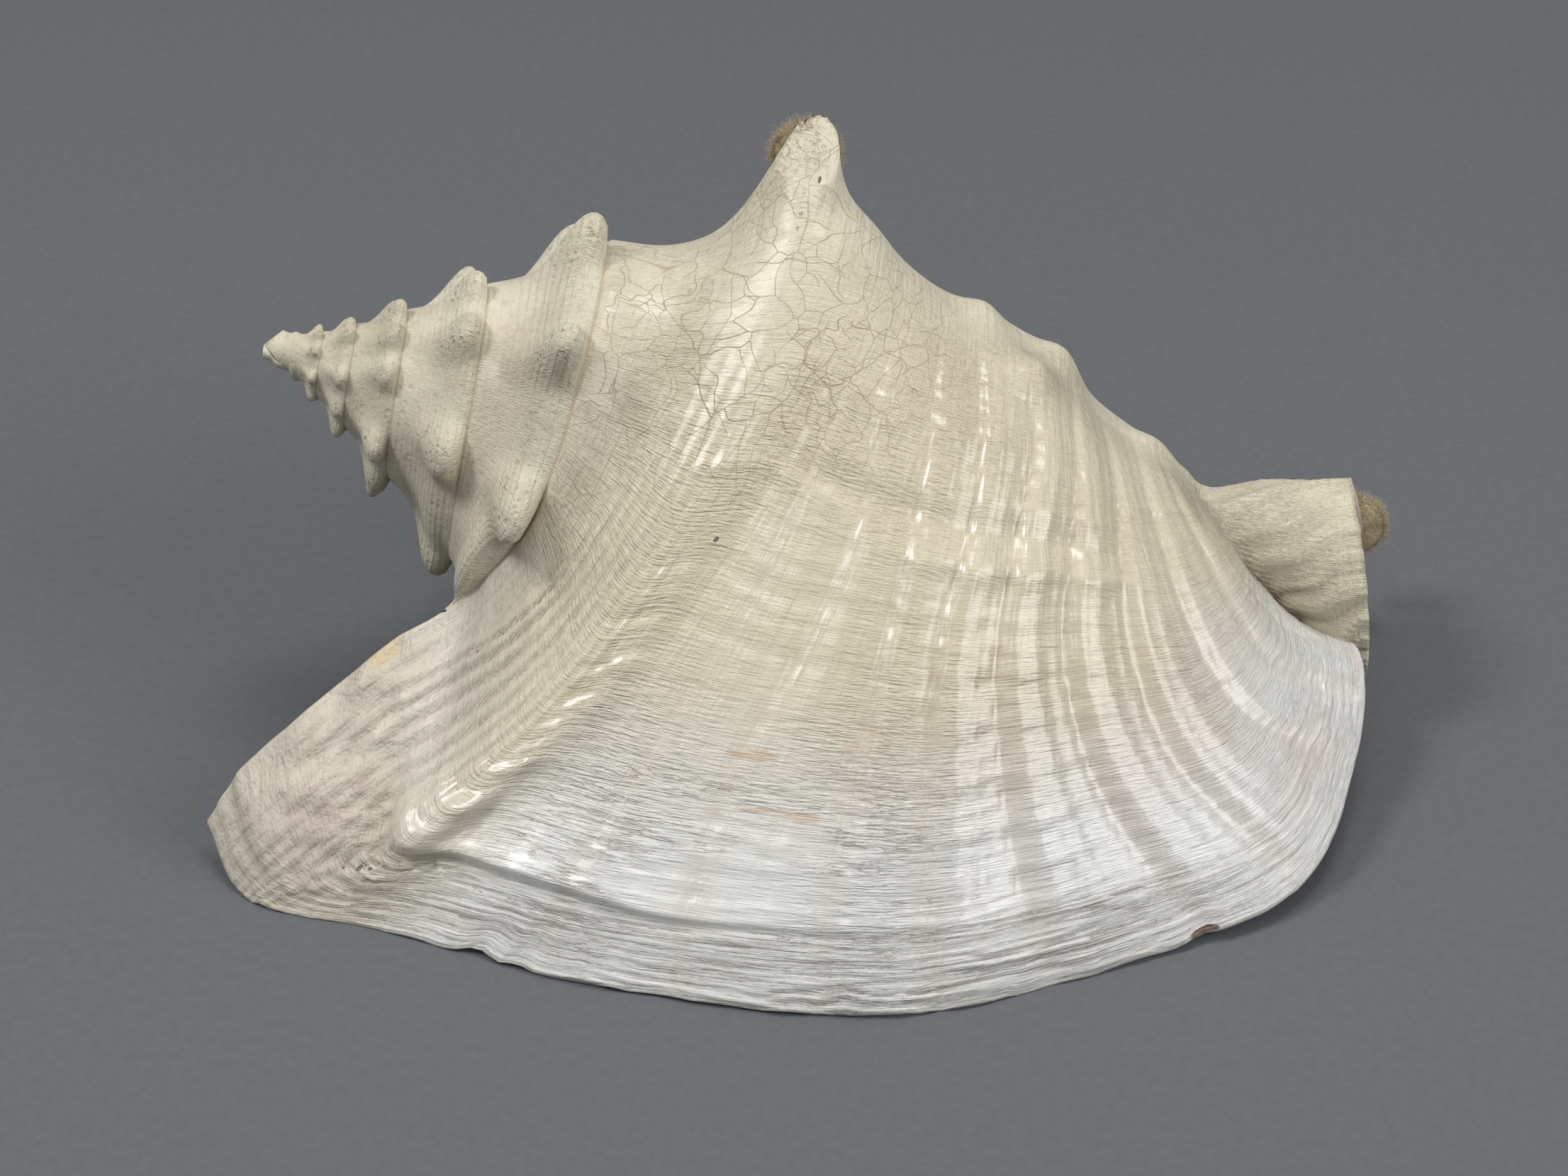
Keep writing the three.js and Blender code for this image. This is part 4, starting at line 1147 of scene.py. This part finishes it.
def make_floor(options):
    """A large flat square."""
    half = options.floor_size / 2
    mesh = bpy.data.meshes.new("floor")
    corners = [(-half, -half, 0), (half, -half, 0), (half, half, 0), (-half, half, 0)]
    mesh.from_pydata(corners, [], [(0, 1, 2, 3)])
    mesh.materials.append(floor_finish(options))
    floor = bpy.data.objects.new("floor", mesh)
    bpy.context.scene.collection.objects.link(floor)


def look_from(thing, place, target):
    """Stands a camera or light at a place and turns it to the target, level."""
    thing.location = Vector(place)
    thing.rotation_euler = (Vector(target) - Vector(place)).to_track_quat("-Z", "Y").to_euler()
    bpy.context.scene.collection.objects.link(thing)


# Lamps: name, place and size in metres, share of the light's power.
LAMPS = (
    ("key", (-0.8, -0.15, 1.2), 0.4, 0.52), ("fill", (1.2, -0.6, 0.9), 0.8, 0.60),
    ("front", (-0.3, -0.8, 1.3), 0.3, 0.08), ("top", (0.2, 0.3, 1.5), 0.5, 0.42),
)
# The camera's place and target in the axis frame, and its lens and sensor, all in mm.
CAMERA_PLACE = (-0.05, -565.5, 421.5)
CAMERA_TARGET = (-0.05, 11.98, 17.1)
CAMERA_LENS = 70
CAMERA_SENSOR = 36


def make_lights(options):
    """A key lamp from the upper left, a broad fill from the right, weak ones from the front and above."""
    for name, place, size, share in LAMPS:
        lamp = bpy.data.lights.new(name, "AREA")
        lamp.shape, lamp.size = "SQUARE", size
        lamp.energy = options.light_power * share
        look_from(bpy.data.objects.new(name, lamp), place, (0, 0, 0.05))
    world = bpy.data.worlds.new("studio")
    world.use_nodes = True
    bpy.context.scene.view_settings.view_transform = "Standard"
    ground = world.node_tree.nodes["Background"]
    ground.inputs["Color"].default_value = colour(options.sky_colour)
    ground.inputs["Strength"].default_value = options.sky_strength
    bpy.context.scene.world = world


def make_camera():
    """Level, from the front and above."""
    shift = frame_shift()
    data = bpy.data.cameras.new("camera")
    data.lens, data.sensor_width = CAMERA_LENS, CAMERA_SENSOR
    camera = bpy.data.objects.new("camera", data)
    look_from(camera, (np.array(CAMERA_PLACE) - shift) * MM, (np.array(CAMERA_TARGET) - shift) * MM)
    bpy.context.scene.camera = camera


# ---- options, operators and panel ----
def tint(name, description, value):
    """A colour property."""
    return FloatVectorProperty(name=name, description=description, subtype="COLOR", size=3, min=0, max=1,
                               default=value)


class ShellOptions(bpy.types.PropertyGroup):
    """Relief and colours of the shell."""
    rib_height: FloatProperty(
        name="Rib height", description="Height of the broad ribs, as a share of the worn shell's",
        default=1.0, min=0, max=2, subtype="FACTOR")
    cord_height: FloatProperty(
        name="Cord height", description="Height of the narrow cords, as a share of the worn shell's",
        default=1.0, min=0, max=2, subtype="FACTOR")
    chalk: tint("Chalk", "Lighter tone of the matt whorls", (0.73, 0.68, 0.53))
    chalk_dark: tint("Chalk shade", "Darker tone of the matt whorls", (0.63, 0.565, 0.41))
    # The canal's warm cream, painted lighter to make up for its shade.
    canal_cream_and_painted_light: tint("Canal", "Warm cream of the canal", (0.82, 0.72, 0.53))
    cream: tint("Cream", "Lighter tone of the glaze", (0.69, 0.61, 0.435))
    cream_dark: tint("Cream shade", "Darker tone of the glaze", (0.60, 0.50, 0.33))
    lip_white: tint("Lip white", "The bleached lip", (0.74, 0.725, 0.69))
    blush: tint("Blush", "Pink left in the grooves and on the lobe", (0.68, 0.54, 0.49))
    throat: tint("Throat", "Deep inside the aperture", (0.78, 0.60, 0.52))
    # Painted shade in the grooves, under the flakes and on the lobe, and dirt on the chalky whorls and along
    # the flaking layers.
    shade_and_dirt_tint: tint("Groove tint", "Dirt in grooves and under flakes", (0.46, 0.37, 0.27))
    # Dirt in fine cracks and pits, and painted shade along the suture.
    crack_dirt_and_seam_shade: tint("Crack tint", "Dirt in fine cracks and pits", (0.38, 0.26, 0.15))
    # Painted shade inside the bore holes.
    hole_shade_tint: tint("Hole tint", "Inside of the bore holes", (0.05, 0.035, 0.025))
    stain_tint: tint("Stain tint", "Tan stains", (0.55, 0.36, 0.20))
    chip_tint: tint("Chip tint", "Brown core at the chipped edge", (0.20, 0.11, 0.05))
    margin_tint: tint("Margin tint", "Yellow patch on the free margin", (0.66, 0.52, 0.24))


class PadOptions(bpy.types.PropertyGroup):
    """Hairs and colours of the felt pads."""
    fibres: IntProperty(name="Hairs", description="Loose hairs on each pad", default=4200, min=0, max=9000)
    fibre_length: FloatProperty(
        name="Hair length", description="Longest hair, in millimetres", default=2.6, min=0.2, max=5)
    felt_light: tint("Felt", "Lighter tone of the felt", (0.62, 0.48, 0.28))
    felt_dark: tint("Felt shade", "Darker tone of the felt", (0.36, 0.26, 0.14))


class StageOptions(bpy.types.PropertyGroup):
    """Floor and lights."""
    floor_size: FloatProperty(
        name="Floor size", description="Side of the floor", default=8.0, min=1, unit="LENGTH")
    floor_colour: tint("Floor", "The dark grey ground", (0.12, 0.124, 0.13))
    light_power: FloatProperty(
        name="Light power", description="Power that the lamps share", default=17.0, min=0, unit="POWER")
    sky_colour: tint("Surroundings", "Light from all round", (0.86, 0.92, 1.0))
    sky_strength: FloatProperty(
        name="Surroundings strength", description="Strength of the light from all round", default=0.32, min=0)


class CONCH_OT_make_shell(bpy.types.Operator):
    """Make the shell in the place of its solid"""
    bl_idname = "conch.make_shell"
    bl_label = "Shell"

    def execute(self, context):
        options = context.scene.conch_shell
        add_piece(make_shell(options, frame_shift()), "conch_shell", shell_finish(options), "shell")
        return {"FINISHED"}


class CONCH_OT_make_pads(bpy.types.Operator):
    """Make the two felt pads in the places of their solids"""
    bl_idname = "conch.make_pads"
    bl_label = "Felt pads"

    def execute(self, context):
        options = context.scene.conch_pads
        felt = felt_finish(options)
        for seed, (node, seat) in zip((70, 80), pad_seats().items()):
            mesh = make_pad("felt_" + node, seat, options, frame_shift(), seed)
            add_piece(mesh, "felt_" + node, felt, node)
        return {"FINISHED"}


class CONCH_OT_make_stage(bpy.types.Operator):
    """Make the floor, the lights and the camera"""
    bl_idname = "conch.make_stage"
    bl_label = "Stage"

    def execute(self, context):
        options = context.scene.conch_stage
        make_floor(options)
        make_lights(options)
        make_camera()
        return {"FINISHED"}


class CONCH_PT_panel(bpy.types.Panel):
    """Lists the operators"""
    bl_idname = "CONCH_PT_panel"
    bl_label = "Conch shell"
    bl_space_type = "VIEW_3D"
    bl_region_type = "UI"
    bl_category = "Conch"

    def draw(self, context):
        for operator in OPERATORS:
            self.layout.operator(operator.bl_idname)


OPERATORS = (CONCH_OT_make_stage, CONCH_OT_make_shell, CONCH_OT_make_pads)
CLASSES = (ShellOptions, PadOptions, StageOptions, *OPERATORS, CONCH_PT_panel)


def register():
    for kind in CLASSES:
        bpy.utils.register_class(kind)
    bpy.types.Scene.conch_shell = PointerProperty(type=ShellOptions)
    bpy.types.Scene.conch_pads = PointerProperty(type=PadOptions)
    bpy.types.Scene.conch_stage = PointerProperty(type=StageOptions)


def unregister():
    for name in ("conch_shell", "conch_pads", "conch_stage"):
        delattr(bpy.types.Scene, name)
    for kind in reversed(CLASSES):
        bpy.utils.unregister_class(kind)


def main():
    register()
    bpy.ops.conch.make_stage()
    bpy.ops.conch.make_shell()
    bpy.ops.conch.make_pads()


if __name__ == "__main__":
    main()
